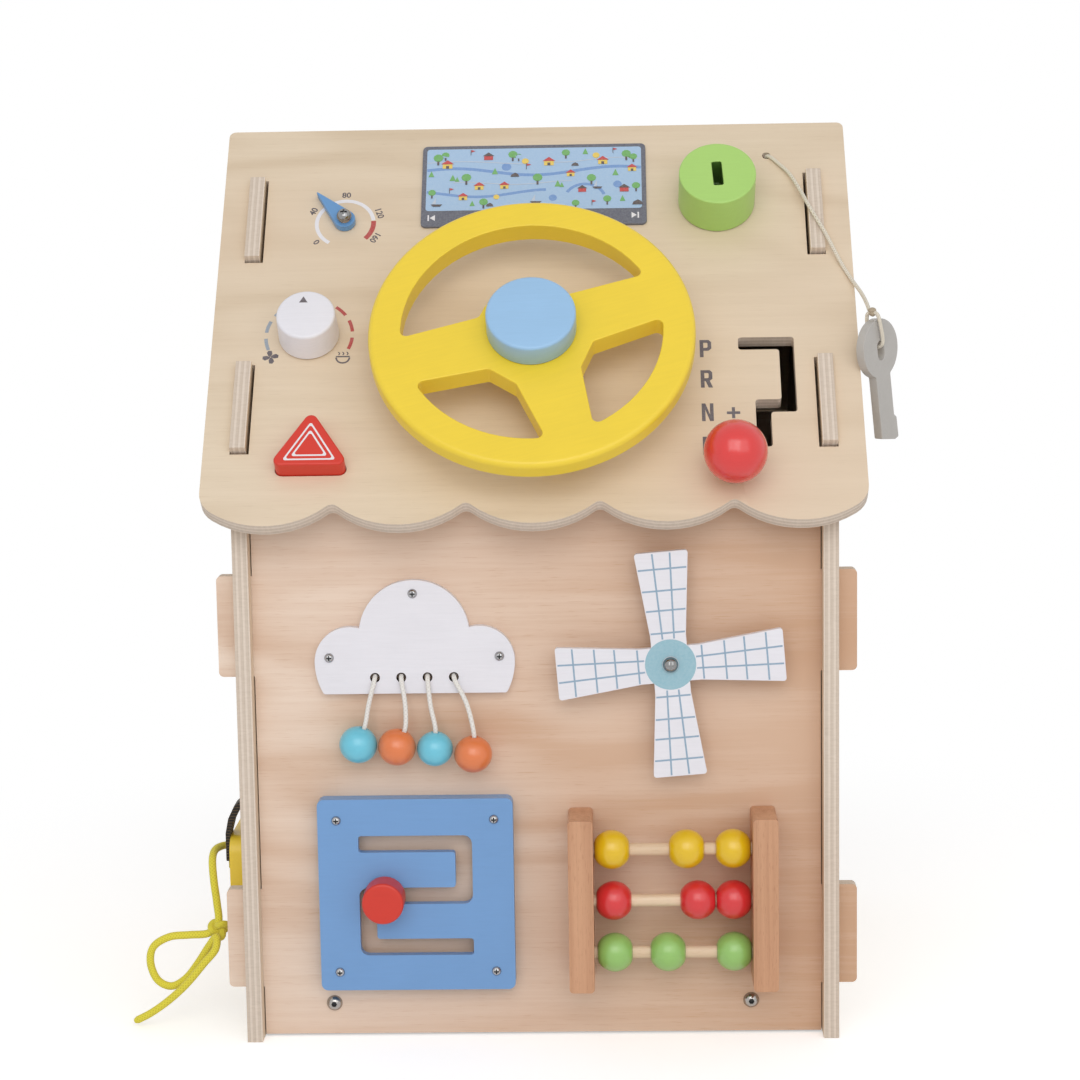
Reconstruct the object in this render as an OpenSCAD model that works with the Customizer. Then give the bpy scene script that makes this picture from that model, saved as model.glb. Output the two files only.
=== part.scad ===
// Wooden activity house: a dashboard roof, a rain cloud, a windmill, a slot maze and a bead frame.
// Millimetres. X to the right, Y to the back, Z up. The origin is on the floor under the middle.

/* [House] */
// Width over the outer faces of the side walls
body_w = 308; // [290:1:340]
// Depth of the side walls, front edge to back edge
body_d = 284; // [270:1:320]
// Plywood thickness of every panel
ply = 8; // [7:0.5:10]
// Slope of the roof, degrees
roof_angle = 50; // [47:1:53]
// Height of the eave line of the roof's top face
eave_z = 285.5; // [280:1:300]
// How far the eave line stands out past the walls
eave_out = 14; // [12:1:18]
// How far the roof stands out past each side wall
roof_over = 14; // [12:0.5:18]
// Number of eave scallops
scallops = 5; // [4:1:7]
// Depth of a scallop
scallop_h = 13.8; // [10:0.5:17]
// Rounding of the scallops' meeting points
cusp_r = 4; // [2:0.5:6]
// Rounding of the roof's lower corners
eave_corner_r = 14; // [8:1:18]
// Rounding of the ridge corners
ridge_corner_r = 3.5; // [2:0.5:8]
// Front and back panels lie this far inside the wall edges
panel_recess = 10; // [8:1:16]
// Gap between a panel's edge and the wall beside it
panel_gap = 0.5; // [0.3:0.1:1]
// Gap under the front and back panels
panel_lift = 1.3; // [0.5:0.1:3]

/* [Joints of the house] */
// How far the panel tabs stand out of the side walls
panel_tab_out = 10; // [4:1:14]
// Height of a panel tab
panel_tab_h = 52.5; // [30:0.5:60]
// Bottom of the lower panel tabs
panel_tab_low = 27; // [24:1:40]
// Bottom of the upper panel tabs
panel_tab_high = 192.3; // [170:1:205]
// How far the roof tabs stand out of the roof
roof_tab_out = 4; // [2:0.5:6]
// Length of a roof tab along the slope
roof_tab_l = 54; // [30:1:60]
// Start of the lower roof tabs, measured up the slope
roof_tab_low = 31; // [31:1:40]
// Start of the upper roof tabs, measured up the slope
roof_tab_high = 153.5; // [140:0.5:165]
// Fit of tabs in their slots
slot_fit = 0.2; // [0.1:0.05:0.4]
// Extra width of the roof slots on the inner side
slot_slack = 1.3; // [0:0.1:2]
// Glue line between roof and walls
glue = 0.05; // [0.02:0.01:0.2]
// Bolt distance from the middle of the front and back panels
bolt_x = 109; // [80:1:125]
// Height of the panel bolts and of the bottom panel's middle plane
bolt_z = 17.9; // [14:0.1:19]
// Shank diameter of the panel bolts
bolt_d = 4; // [3:0.5:5]
// Head diameter of the panel bolts
bolt_head_d = 8.4; // [8:0.1:10]
// Shank length of the panel bolts
bolt_l = 26; // [22:1:30]
// Nut width across its flats
nut_w = 7; // [6.5:0.1:8]
// Nut thickness
nut_h = 3.2; // [2.5:0.1:4]

/* [Steering wheel] */
// Wheel centre, up the slope
wheel_v = 80.7; // [78:0.1:84]
// Wheel radius
wheel_r = 83; // [76:0.5:84]
// Width of the wheel's rim
rim_w = 16.5; // [12:0.5:20]
// Thickness of the wheel
wheel_t = 12; // [9:0.5:15]
// Height of the wheel's underside above the roof
wheel_lift = 22; // [18:0.5:30]
// Turn of the wheel, degrees
wheel_turn = 17; // [0:1:30]
// Radius of the boss between the spokes
boss_r = 28; // [25:0.5:32]
// Radius of the hub cap
hub_r = 22.75; // [18:0.25:24]
// Height of the hub cap
hub_h = 14; // [12:0.5:18]
// Diameter of the wheel's bolt
wheel_bolt_d = 8; // [6:0.5:10]
// Radius of the spacer under the wheel
spacer_r = 13; // [10:0.5:16]
// Upper edge of the two side spokes
spoke_top = 15.5; // [12:0.5:18]
// Lower edge of the two side spokes
spoke_low = 15; // [12:0.5:18]
// Half width of the lower spoke
spoke_half = 14; // [10:0.5:16]

/* [Dashboard] */
// Pivot of the gauge pointer, left of the middle
gauge_u = 101.7; // [98:0.1:106]
// Pivot of the gauge pointer, up the slope
gauge_v = 177.7; // [174:0.1:182]
// Length of the gauge pointer from its pivot
pointer_l = 24; // [18:0.5:28]
// Radius of the pointer's round end
pointer_r = 5.7; // [5:0.1:7]
// Angle of the pointer, degrees
pointer_turn = 130.4; // [90:0.1:150]
// Thickness of the pointer
pointer_t = 4; // [3:0.5:5]
// Climate knob, left of the middle
knob_u = 117.3; // [116:0.1:119]
// Climate knob, up the slope
knob_v = 103.4; // [100:0.1:108]
// Climate knob radius at its base
knob_r = 15.8; // [14:0.1:17]
// Climate knob height
knob_h = 18.6; // [16:0.1:22]
// Hazard button, left of the middle
hazard_u = 112.4; // [111:0.1:114]
// Lower edge of the hazard button, up the slope
hazard_v = 16.2; // [15:0.1:18]
// Width of the hazard button
hazard_w = 35.7; // [32:0.1:38]
// Height of the hazard button's triangle
hazard_h = 30.5; // [28:0.1:32]
// Corner radius of the hazard button
hazard_r = 3.5; // [2.5:0.1:4.5]
// How far the hazard button stands out
hazard_out = 10; // [8:0.5:12]
// Travel of the hazard button
hazard_travel = 3; // [2:0.5:3.5]
// Gap round the hazard button in its cut-out
hazard_gap = 0.4; // [0.2:0.1:0.8]
// Lower left corner of the screen
screen_u0 = -61; // [-66:0.5:-56]
// Right edge of the screen
screen_u1 = 60; // [56:0.5:64]
// Lower edge of the screen, up the slope
screen_v0 = 173.3; // [170:0.5:178]
// Upper edge of the screen, up the slope
screen_v1 = 229; // [220:0.5:234]
// Thickness of the screen plate
screen_t = 1.5; // [1:0.1:3]
// Ignition lock, right of the middle
lock_u = 97.5; // [94:0.1:101]
// Ignition lock, up the slope
lock_v = 188.3; // [184:0.1:192]
// Ignition lock radius
lock_r = 20.4; // [18:0.1:22]
// Ignition lock height
lock_h = 24; // [20:0.5:28]
// Width of the key slot
key_slot_w = 5.2; // [4.8:0.1:6.5]
// Length of the key slot
key_slot_l = 16; // [15.4:0.1:20]
// Depth of the key slot
key_slot_depth = 18; // [14:0.5:19]
// Turn of the key slot, degrees
lock_turn = 3.2; // [0:0.1:10]
// Cord hole, right of the middle
cord_hole_u = 125.5; // [123:0.1:128]
// Cord hole, up the slope
cord_hole_v = 220; // [219:0.1:221]
// Diameter of the cord hole
cord_hole_d = 4.5; // [4:0.1:6]

/* [Gear lever] */
// Width of the gear slot
gear_slot_w = 7.8; // [7:0.1:9]
// Corner radius of the gear gate
gear_corner_r = 1.6; // [0.5:0.1:2.5]
// Middle of the slot's first stretch, right of the middle
gear_u0 = 101.2; // [99:0.1:103]
// Middle of the slot's second stretch
gear_u1 = 117.3; // [115:0.1:119]
// Middle of the slot's third stretch
gear_u2 = 130.7; // [129:0.1:133]
// Middle of the slot's last stretch
gear_u3 = 109.7; // [107:0.1:112]
// Start of the gear slot, up the slope
gear_v0 = 14; // [12:0.1:16]
// First cross stretch of the gear slot
gear_v1 = 34; // [32:0.1:36]
// Second cross stretch of the gear slot
gear_v2 = 55.2; // [53:0.1:57]
// Last cross stretch of the gear slot
gear_v3 = 94.4; // [92:0.1:97]
// Diameter of the gear ball
gear_ball_d = 32; // [26:0.5:32]
// Height of the ball's centre above the roof
gear_ball_w = 20; // [18.5:0.1:24]
// Play of the gear lever's neck in its slot, on the radius
gear_play = 0.2; // [0.1:0.05:0.3]

/* [Rain cloud] */
// Middle of the cloud, left of the middle
cloud_x = 62.5; // [60:0.1:64]
// Lower edge of the cloud
cloud_z = 183.6; // [180:0.1:188]
// Distance from the middle to the side bumps
cloud_side = 33.2; // [30:0.1:34]
// Radius of the middle bump
cloud_r1 = 28.4; // [26:0.1:30]
// Radius of the side bumps
cloud_r2 = 18.2; // [17:0.1:19]
// Middle bump's centre above the lower edge
cloud_h1 = 30.5; // [28:0.1:32]
// Side bumps' centre above the lower edge
cloud_h2 = 16.7; // [15:0.1:18]
// How far the cloud's sides draw in towards its lower edge
cloud_draw = 4.4; // [2:0.1:8]
// Corner radius of the cloud's lower edge
cloud_corner_r = 1.5; // [0.5:0.1:2.5]
// Cloud thickness
cloud_t = 5; // [4:0.5:6]
// Distance between two rain strings at the cloud
rain_pitch = 13.5; // [13:0.1:14]
// Height of the string holes above the cloud's lower edge
rain_hole_h = 8.4; // [6:0.1:10]
// Diameter of the string holes
rain_hole_d = 4.9; // [4:0.1:6]
// Diameter of a rain bead
rain_bead_d = 19.6; // [16:0.1:19.6]
// How much smaller the third rain bead is
rain_small = 1; // [1:0.1:2]
// Bore of a rain bead
rain_bore_d = 3.4; // [3:0.1:5]

/* [Windmill] */
// Windmill axle, right of the middle
mill_x = 68.3; // [66:0.1:70]
// Windmill axle height
mill_z = 198.9; // [196:0.1:202]
// Radius to the blade tips
mill_r = 58; // [52:0.5:60]
// Blade width at the tip
mill_tip_w = 27.5; // [22:0.5:30]
// Blade width at the neck
mill_neck_w = 18.2; // [14:0.1:20]
// Where the neck starts
mill_neck_r = 15; // [13:0.5:18]
// Radius of the windmill's hub disc
mill_hub_r = 13; // [11:0.5:15]
// Thickness of the windmill
mill_t = 4; // [3:0.5:6]
// Gap between the panel and the windmill
mill_lift = 10; // [7:0.5:14]
// Turn of the windmill, degrees
mill_turn = 4.5; // [0:0.5:20]

/* [Pivots] */
// Bore radius of the pivot sleeves
pivot_shank_r = 2; // [1.5:0.1:2.3]
// Outer radius of the pivot sleeves
pivot_sleeve_r = 3; // [2.7:0.1:3.3]
// Running play on a sleeve, on the radius
run_play = 0.06; // [0.02:0.01:0.1]
// Head radius of the pivot screws
pivot_head_r = 4; // [3.8:0.1:5]
// Free play along an axle
end_play = 0.4; // [0.2:0.1:0.8]

/* [Slot maze] */
// Left edge of the maze board
maze_x0 = -114.5; // [-118:0.5:-112]
// Right edge of the maze board
maze_x1 = -13.5; // [-20:0.5:-8]
// Lower edge of the maze board
maze_z0 = 27.5; // [26:0.5:32]
// Upper edge of the maze board
maze_z1 = 129; // [124:0.5:134]
// Thickness of the maze board
maze_t = 9; // [8:0.5:12]
// Corner radius of the maze board
maze_corner_r = 3.5; // [2:0.5:8]
// Width of the maze slots
maze_slot_w = 8.8; // [8:0.1:10]
// Outer corner radius of the maze slot
maze_outer_r = 4.5; // [1:0.5:5]
// Radius of the maze slot's ends and inner corners
maze_end_r = 1.6; // [0.5:0.1:3]
// Width of the channel behind the slots
maze_channel_w = 14.6; // [13:0.1:16]
// Depth of the channel behind the slots
maze_channel_h = 4; // [3:0.1:5]
// Left turn of the maze slots
maze_slot_x0 = -89.2; // [-91:0.1:-87]
// Right turn of the maze slots
maze_slot_x1 = -39.2; // [-42:0.1:-37]
// Upper slot height
maze_slot_z2 = 105.3; // [103:0.1:108]
// Middle slot height
maze_slot_z1 = 77.8; // [76:0.1:80]
// Lower slot height
maze_slot_z0 = 50.5; // [48:0.1:53]
// Radius of the maze knob
maze_knob_r = 10.75; // [9:0.05:12]
// Height of the maze knob
maze_knob_h = 15.6; // [12:0.1:20]
// Where the knob stands, to the right of the left turn
maze_knob_dx = 8.9; // [8:0.1:30]
// Play of the slider's neck in its slot, on the radius
maze_play = 0.3; // [0.2:0.05:0.4]
// Distance of the board screws from the maze board's edges
maze_screw_in = 9.8; // [8:0.1:11]

/* [Bead frame] */
// Left post, right of the middle
post_x0 = 21.3; // [18:0.1:24]
// Right post, right of the middle
post_x1 = 115.3; // [114:0.1:118]
// Width of a post
post_w = 12.8; // [10:0.1:15]
// Depth of a post
post_d = 30; // [26:1:36]
// Lower end of the posts
post_z0 = 31.5; // [28:0.5:34]
// Upper end of the posts
post_z1 = 121.6; // [118:0.5:126]
// Corner radius of the posts
post_r = 2; // [1:0.5:4]
// Rod diameter
rod_d = 6.4; // [5:0.1:7]
// Distance of the rods from the front panel
rod_out = 16; // [14:0.5:20]
// Depth of a rod's hole in a post
rod_seat = 8; // [5:0.5:10]
// Upper rod
rod_z2 = 103.3; // [102:0.1:106]
// Middle rod
rod_z1 = 76.4; // [75:0.1:78]
// Lower rod
rod_z0 = 49; // [46:0.1:51]
// Bead diameter
bead_d = 20; // [16:0.5:22]
// Bead length, between the flats round its bore
bead_l = 18; // [15:0.1:18]

/* [Side pieces] */
// Thickness of the shoe board
shoe_t = 12; // [9:0.5:14]
// Front end of the shoe board, ahead of the middle
shoe_front = 104; // [102:1:108]
// Length of the shoe board
shoe_l = 92; // [80:1:110]
// Lower edge of the shoe board
shoe_z0 = 67.5; // [64:0.5:70]
// Height of the shoe's toe
shoe_toe_h = 32; // [28:0.5:33]
// Height of the shoe at its heel
shoe_heel_h = 60; // [50:1:70]
// Thickness of the strap
strap_t = 2.4; // [2:0.1:3]
// Width of the strap
strap_w = 14; // [10:1:16]
// Diameter of the lace
lace_d = 4.5; // [4:0.1:5]

/* [Hidden] */
$fn = 64;
roof_w = body_w+2*roof_over;
eps = 0.01;

wall_in = body_w/2 - ply;
eave_y = body_d/2 + eave_out;
slope_l = eave_y/cos(roof_angle);
panel_y = -(body_d/2 - panel_recess);
// height of the roof's underside over a point y in front of the ridge (y is negative)
function under_z(y) = eave_z - ply/cos(roof_angle) + (eave_y - abs(y))*tan(roof_angle);
panel_top = under_z(panel_y) - panel_gap;
pitch = roof_w/scallops;
scallop_r = (pow(pitch/2, 2) + pow(scallop_h, 2))/(2*scallop_h);
mech_z = panel_top - 15.5;

// frames of the three worked faces
module on_roof() translate([0, -eave_y, eave_z]) rotate([roof_angle, 0, 0]) children();
module on_front() translate([0, panel_y, 0]) rotate([90, 0, 0]) children();
module on_left() translate([-body_w/2, 0, 0]) rotate([90, 0, -90]) children();
module turned_round() rotate([0, 0, 180]) children();

function unit(v) = v/norm(v);
function arc(c, r, a0, a1, n) = [for (i = [0:n]) c + r*[cos(a0+(a1-a0)*i/n), sin(a0+(a1-a0)*i/n)]];
// the corner p between a and b, rounded by r with n edges
function soft_corner(a, p, b, r, n) = r <= 0 ? [p] : let (u = unit(a-p), v = unit(b-p), th = acos(u*v),
    c = p + unit(u+v)*r/sin(th/2), s = p + u*r/tan(th/2) - c, e = p + v*r/tan(th/2) - c,
    a0 = atan2(s[1], s[0]), d = atan2(e[1], e[0]) - a0)
    arc(c, r, a0, a0 + (d > 180 ? d-360 : d < -180 ? d+360 : d), n);
// an outline with its corners rounded; r is one radius, or one for each corner
function soft(p, r, n = 6) = let (m = len(p)) [for (i = [0:m-1]) each
    soft_corner(p[(i+m-1)%m], p[i], p[(i+1)%m], is_list(r) ? r[i] : r, n)];
module soft_rect(x0, y0, x1, y1, r) polygon(soft([[x0, y0], [x1, y0], [x1, y1], [x0, y1]], r));
// one side of a slot of width w along a path with right-angled bends: side 1 is its left, -1 its right
function left_of(d) = [-d[1], d[0]];
function slot_side(p, w, side, r_end, r_out, r_in) = let (n = len(p)-1) [for (i = [0:n]) let (
    d0 = i > 0 ? unit(p[i]-p[i-1]) : -unit(p[1]-p[0]), d1 = i < n ? unit(p[i+1]-p[i]) : -unit(p[n]-p[n-1]))
    i == 0 ? [p[0] + w/2*(d0 - side*left_of(d0)), r_end] :
    i == n ? [p[n] + w/2*(d0 + side*left_of(d0)), r_end] :
    [p[i] + side*w/2*(left_of(d0) + left_of(d1)), side*(d0[0]*d1[1] - d0[1]*d1[0]) > 0 ? r_in : r_out]];
module slot_path(p, w, r_end, r_out, r_in) let (a = slot_side(p, w, 1, r_end, r_out, r_in),
    b = slot_side(p, w, -1, r_end, r_out, r_in), q = concat(a, [for (i = [len(b)-1:-1:0]) b[i]]))
    polygon(soft([for (c = q) c[0]], [for (c = q) c[1]]));
// turned piece: height h, radius r0 at the foot and r1 at the top, edge radius e
module turned(r0, r1, h, e) {
    rotate_extrude() union() {
        polygon([[0, 0], [r0, 0], [r1, h-e], [r1-e, h], [0, h]]);
        translate([r1-e, h-e]) circle(e);
    }
}
module dome(r, h) rotate_extrude() intersection() {
    k = (r*r + h*h)/(2*h);
    translate([0, h-k]) circle(k);
    square([r, h]);
}
module cross_cut(l, w, d) for (a = [0, 90]) rotate([0, 0, a]) translate([-l/2, -w/2, -d]) cube([l, w, 2*d]);

// round cord swept along points; side is any direction that the cord never follows
function cord_way(p, i) = unit(p[min(i+1, len(p)-1)] - p[max(i-1, 0)]);
module cord(p, r, side, n = 8) {
    m = len(p);
    polyhedron(
        points = [for (i = [0:m-1]) let (t = cord_way(p, i), a = unit(cross(t, side)), b = cross(t, a))
            for (k = [0:n-1]) p[i] + r*(a*cos(360*k/n) + b*sin(360*k/n))],
        faces = concat([[for (k = [0:n-1]) k]], [[for (k = [n-1:-1:0]) (m-1)*n + k]],
            [for (i = [0:m-2], k = [0:n-1]) [i*n+k, (i+1)*n+k, (i+1)*n+(k+1)%n, i*n+(k+1)%n]]));
}

// ---- house ----
module roof_tabs(out) for (v = [roof_tab_low, roof_tab_high])
    translate([v, -ply-1]) square([roof_tab_l, ply+1+out]);
module wall_outline() difference() {
    union() {
        polygon([[-body_d/2, 0], [body_d/2, 0], [body_d/2, under_z(body_d/2)-glue],
            [0, under_z(0)-glue], [-body_d/2, under_z(body_d/2)-glue]]);
        for (s = [0, 1]) mirror([s, 0]) translate([-eave_y, eave_z]) rotate(roof_angle) roof_tabs(roof_tab_out);
    }
    for (s = [0, 1], z = [panel_tab_low, panel_tab_high]) mirror([s, 0])
        translate([panel_y-slot_fit, z-slot_fit]) square([ply+2*slot_fit, panel_tab_h+2*slot_fit]);
}
module side_wall(x) translate([x, 0, 0]) rotate([90, 0, 90]) linear_extrude(ply) wall_outline();
module side_wall_left() color("burlywood") difference() {
    side_wall(-body_w/2);
    on_left() for (p = side_pegs) translate([p[0], p[1], -ply-1]) cylinder(r=p[2], h=ply+2);
}
module side_wall_right() color("burlywood") side_wall(wall_in);

module panel_outline() {
    polygon([[-wall_in+panel_gap, panel_lift], [wall_in-panel_gap, panel_lift],
        [wall_in-panel_gap, panel_top], [-wall_in+panel_gap, panel_top]]);
    for (z = [panel_tab_low, panel_tab_high], s = [0, 1]) mirror([s, 0])
        soft_rect(wall_in-panel_gap-8, z, body_w/2+panel_tab_out, z+panel_tab_h, 2.5);
}
bolt_xs = [-bolt_x, bolt_x];
module front_panel() color("tan") on_front() translate([0, 0, -ply]) difference() {
    linear_extrude(ply) difference() {
        panel_outline();
        for (x = bolt_xs) translate([x, bolt_z]) circle(bolt_d/2+slot_fit);
        translate([mill_x, mill_z]) circle(pivot_shank_r);
        for (p = cloud_screws) translate(p) circle(screw_r);
        for (p = maze_screws) translate(p) circle(screw_r);
        for (x = [post_x0, post_x1], z = [rod_z0, rod_z2]) translate([x, z]) circle(screw_r+slot_fit);
        // room behind the eave for the button's bracket and for the gear slider
        translate([-hazard_u-bracket_w/2-2, mech_z]) square([bracket_w+4, 60]);
        translate([gear_u0-15, mech_z+4]) square([gear_u2-gear_u0+30, 60]);
    }
}
module back_panel() color("tan") turned_round() on_front() translate([0, 0, -ply])
    linear_extrude(ply) difference() {
        panel_outline();
        for (x = bolt_xs) translate([x, bolt_z]) circle(bolt_d/2+slot_fit);
    }
floor_y = -panel_y-ply;
module bottom_panel() color("burlywood") difference() {
    translate([-wall_in+panel_gap, -floor_y+glue, bolt_z-ply/2])
        cube([2*(wall_in-panel_gap), 2*(floor_y-glue), ply]);
    for (s = [0, 180], x = bolt_xs) rotate([0, 0, s]) {
        translate([x-bolt_d/2-slot_fit, -floor_y-1, bolt_z-ply])
            cube([bolt_d+2*slot_fit, bolt_l-ply+3, 2*ply]);
        translate([x-nut_w/2-slot_fit, -floor_y+nut_in-slot_fit, bolt_z-ply])
            cube([nut_w+2*slot_fit, nut_h+2*slot_fit, 2*ply]);
    }
}
nut_in = bolt_l - ply - nut_h - 3;
bolt_head_h = bolt_head_d*0.38;
module panel_bolts() color("silver") for (s = [0, 180], x = bolt_xs) rotate([0, 0, s])
    on_front() translate([x, bolt_z, 0]) {
        difference() {
            union() {
                translate([0, 0, -bolt_l]) cylinder(d=bolt_d, h=bolt_l+bolt_head_h/2);
                translate([0, 0, glue]) dome(bolt_head_d/2, bolt_head_h);
            }
            translate([0, 0, bolt_head_h-1.6]) cylinder(d=3, h=3, $fn=6);
        }
    }
module panel_nuts() color("gray") for (s = [0, 180], x = bolt_xs) rotate([0, 0, s])
    translate([x, -floor_y+nut_in, bolt_z]) difference() {
        translate([-nut_w/2, 0, -nut_w/2]) cube([nut_w, nut_h, nut_w]);
        translate([0, -1, 0]) rotate([-90, 0, 0]) cylinder(d=bolt_d, h=nut_h+2);
    }

// roof outline, anticlockwise: lower left corner, scallops with filleted meeting points, ridge corners
module roof_outline() {
    cv = scallop_r - scallop_h;
    xs = [for (i = [0:scallops-1]) (i-(scallops-1)/2)*pitch];
    xc = roof_w/2 - eave_corner_r;
    dc = sqrt(pow(scallop_r-eave_corner_r, 2) - pow(xc-xs[scallops-1], 2));
    ac = atan2(dc, xc-xs[scallops-1]);
    hf = sqrt(pow(scallop_r+cusp_r, 2) - pow(pitch/2, 2));
    af = atan2(hf, pitch/2);
    rr = ridge_corner_r;
    polygon(concat(
        arc([-xc, cv-dc], eave_corner_r, 180, 180+ac, 5),
        [for (i = [0:scallops-1]) each concat(
            arc([xs[i], cv], scallop_r, i == 0 ? 181+ac : 180+af, i == scallops-1 ? 359-ac : 360-af, 12),
            i < scallops-1 ? arc([xs[i]+pitch/2, cv-hf], cusp_r, 179-af, af+1, 4) : [])],
        arc([xc, cv-dc], eave_corner_r, 360-ac, 360, 5),
        arc([roof_w/2-rr, slope_l-rr], rr, 0, 90, 4),
        arc([-roof_w/2+rr, slope_l-rr], rr, 90, 180, 4)));
}
module roof_slots() for (s = [0, 1], v = [roof_tab_low, roof_tab_high]) mirror([s, 0])
    translate([wall_in-slot_fit-slot_slack, v-slot_fit-slot_slack])
        square([ply+2*slot_fit+slot_slack, roof_tab_l+2*slot_fit+slot_slack]);
gear_pts = [[gear_u0, gear_v0], [gear_u0, gear_v1], [gear_u1, gear_v1], [gear_u1, gear_v2],
    [gear_u2, gear_v2], [gear_u2, gear_v3], [gear_u3, gear_v3]];
// the sharp triangle whose rounded form has the button's width and height
hazard_pts = let (r = hazard_r, w = hazard_w/2-r, h = hazard_h-2*r, l = norm([w, h]), k = r*(l+w)/h)
    [[-w-k, 0], [w+k, 0], [0, r+h+r*l/w]];
module hazard_shape(grow) translate([-hazard_u, hazard_v]) let (p = hazard_pts, g = grow,
    t = atan2(p[2][1], p[1][0]), k = g/tan(t/2))
    polygon(soft([p[0]+[-k, -g], p[1]+[k, -g], p[2]+[0, g/cos(t)]], hazard_r+g));
module roof_front() color("wheat") on_roof() translate([0, 0, -ply]) linear_extrude(ply) difference() {
    roof_outline();
    roof_slots();
    hazard_shape(hazard_gap);
    slot_path(gear_pts, gear_slot_w, gear_corner_r, gear_corner_r, gear_corner_r);
    translate([0, wheel_v]) circle(wheel_bolt_d/2+run_play);
    translate([-gauge_u, gauge_v]) circle(pivot_shank_r);
    translate([-knob_u, knob_v]) circle(pivot_shank_r+run_play);
    translate([lock_u, lock_v]) circle(pivot_shank_r+run_play);
    translate([cord_hole_u, cord_hole_v]) circle(d=cord_hole_d);
}
module roof_back() color("wheat") difference() {
    turned_round() on_roof() translate([0, 0, -ply]) linear_extrude(ply) difference() {
        roof_outline();
        roof_slots();
    }
    on_roof() translate([-roof_w, slope_l-60, -ply-glue]) cube([2*roof_w, 200, 200]);
}

// ---- steering wheel ----
module on_wheel() on_roof() translate([0, wheel_v, 0]) rotate([0, 0, wheel_turn]) children();
module wheel_windows() {
    ri = wheel_r-rim_w;
    t = spoke_top; tb = asin(t/boss_r); ti = asin(t/ri);
    low_y = 1.4-spoke_low; low_x = 1.6-spoke_half;
    low = concat([[-boss_r+0.5, -spoke_low-1.9], [-spoke_half-3, -boss_r-2], [low_x, -sqrt(ri*ri-low_x*low_x)]],
        arc([0, 0], ri, 270+asin(low_x/ri)-5, 180-asin(low_y/ri)+5, 12), [[-sqrt(ri*ri-low_y*low_y), low_y]]);
    for (s = [0, 1]) mirror([s, 0]) polygon(soft(low, [for (i = [0:len(low)-1]) i < 3 || i == len(low)-1 ? 3 : 0]));
    top = concat([[ri*cos(ti), t]], arc([0, 0], ri, ti+5, 175-ti, 26), [[-ri*cos(ti), t], [-boss_r*cos(tb), t]],
        arc([0, 0], boss_r, 180-tb-14, tb+14, 8), [[boss_r*cos(tb), t]]);
    m = len(top);
    polygon(soft(top, [for (i = [0:m-1]) i == 0 || i == 28 ? 3 : i == 29 || i == m-1 ? 4 : 0]));
}
module steering_wheel() color("gold") on_wheel() translate([0, 0, wheel_lift]) difference() {
    rotate_extrude($fn=128) soft_rect_half(wheel_r, wheel_t, 3);
    translate([0, 0, -1]) linear_extrude(wheel_t+2) wheel_windows();
    translate([0, 0, -1]) cylinder(d=wheel_bolt_d, h=wheel_t+2);
}
module soft_rect_half(r, t, e) intersection() {
    soft_rect(-r, 0, r, t, e);
    square([r+1, t]);
}
module wheel_hub_cap() color("skyblue") on_wheel() translate([0, 0, wheel_lift+wheel_t+glue]) difference() {
    turned(hub_r, hub_r, hub_h, 1.5);
    translate([0, 0, -1]) cylinder(d=wheel_bolt_d, h=hub_h-3);
}
module wheel_bolt() color("silver") on_wheel() translate([0, 0, -ply-8.6])
    cylinder(d=wheel_bolt_d, h=ply+8.6+wheel_lift+wheel_t+hub_h-4.5);
module wheel_nut() color("gray") on_wheel() translate([0, 0, -ply-end_play]) difference() {
    union() {
        translate([0, 0, -1.8]) cylinder(r=wheel_bolt_d/2+5.5, h=1.8);
        translate([0, 0, -7.5]) cylinder(r=wheel_bolt_d/2+3.3, h=6.5, $fn=6);
    }
    translate([0, 0, -9]) cylinder(d=wheel_bolt_d, h=12);
}
// turned spacers that the wheel, the pointer and the windmill run on
module pivot_spacers() color("peru") {
    on_wheel() translate([0, 0, glue]) difference() {
        cylinder(r=spacer_r, h=wheel_lift-end_play);
        translate([0, 0, -1]) cylinder(r=wheel_bolt_d/2+run_play, h=wheel_lift+2);
    }
    on_roof() translate([-gauge_u, gauge_v, glue]) sleeve(pointer_sleeve, 0);
    on_front() translate([mill_x, mill_z, glue]) sleeve(mill_sleeve, mill_lift-end_play);
}
pointer_sleeve = pointer_t+2*end_play+1.6;
mill_sleeve = mill_lift+mill_t+end_play;
module sleeve(h, foot) difference() {
    union() {
        cylinder(r=pivot_sleeve_r, h=h);
        if (foot > 0) cylinder(r=pivot_sleeve_r+3.2, h=foot);
    }
    translate([0, 0, -1]) cylinder(r=pivot_shank_r, h=h+2);
}
module pivot_screw(w) difference() {
    union() {
        translate([0, 0, w+glue]) dome(pivot_head_r, pivot_head_r*0.95);
        translate([0, 0, -ply+0.5]) cylinder(r=pivot_shank_r, h=w+ply);
    }
    translate([0, 0, w+pivot_head_r*0.95]) cross_cut(3.6, 0.9, 1.6);
}
module pivot_screws() color("silver") {
    on_roof() translate([-gauge_u, gauge_v, 0]) pivot_screw(pointer_sleeve+glue);
    on_front() translate([mill_x, mill_z, 0]) pivot_screw(mill_sleeve+glue);
}

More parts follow.
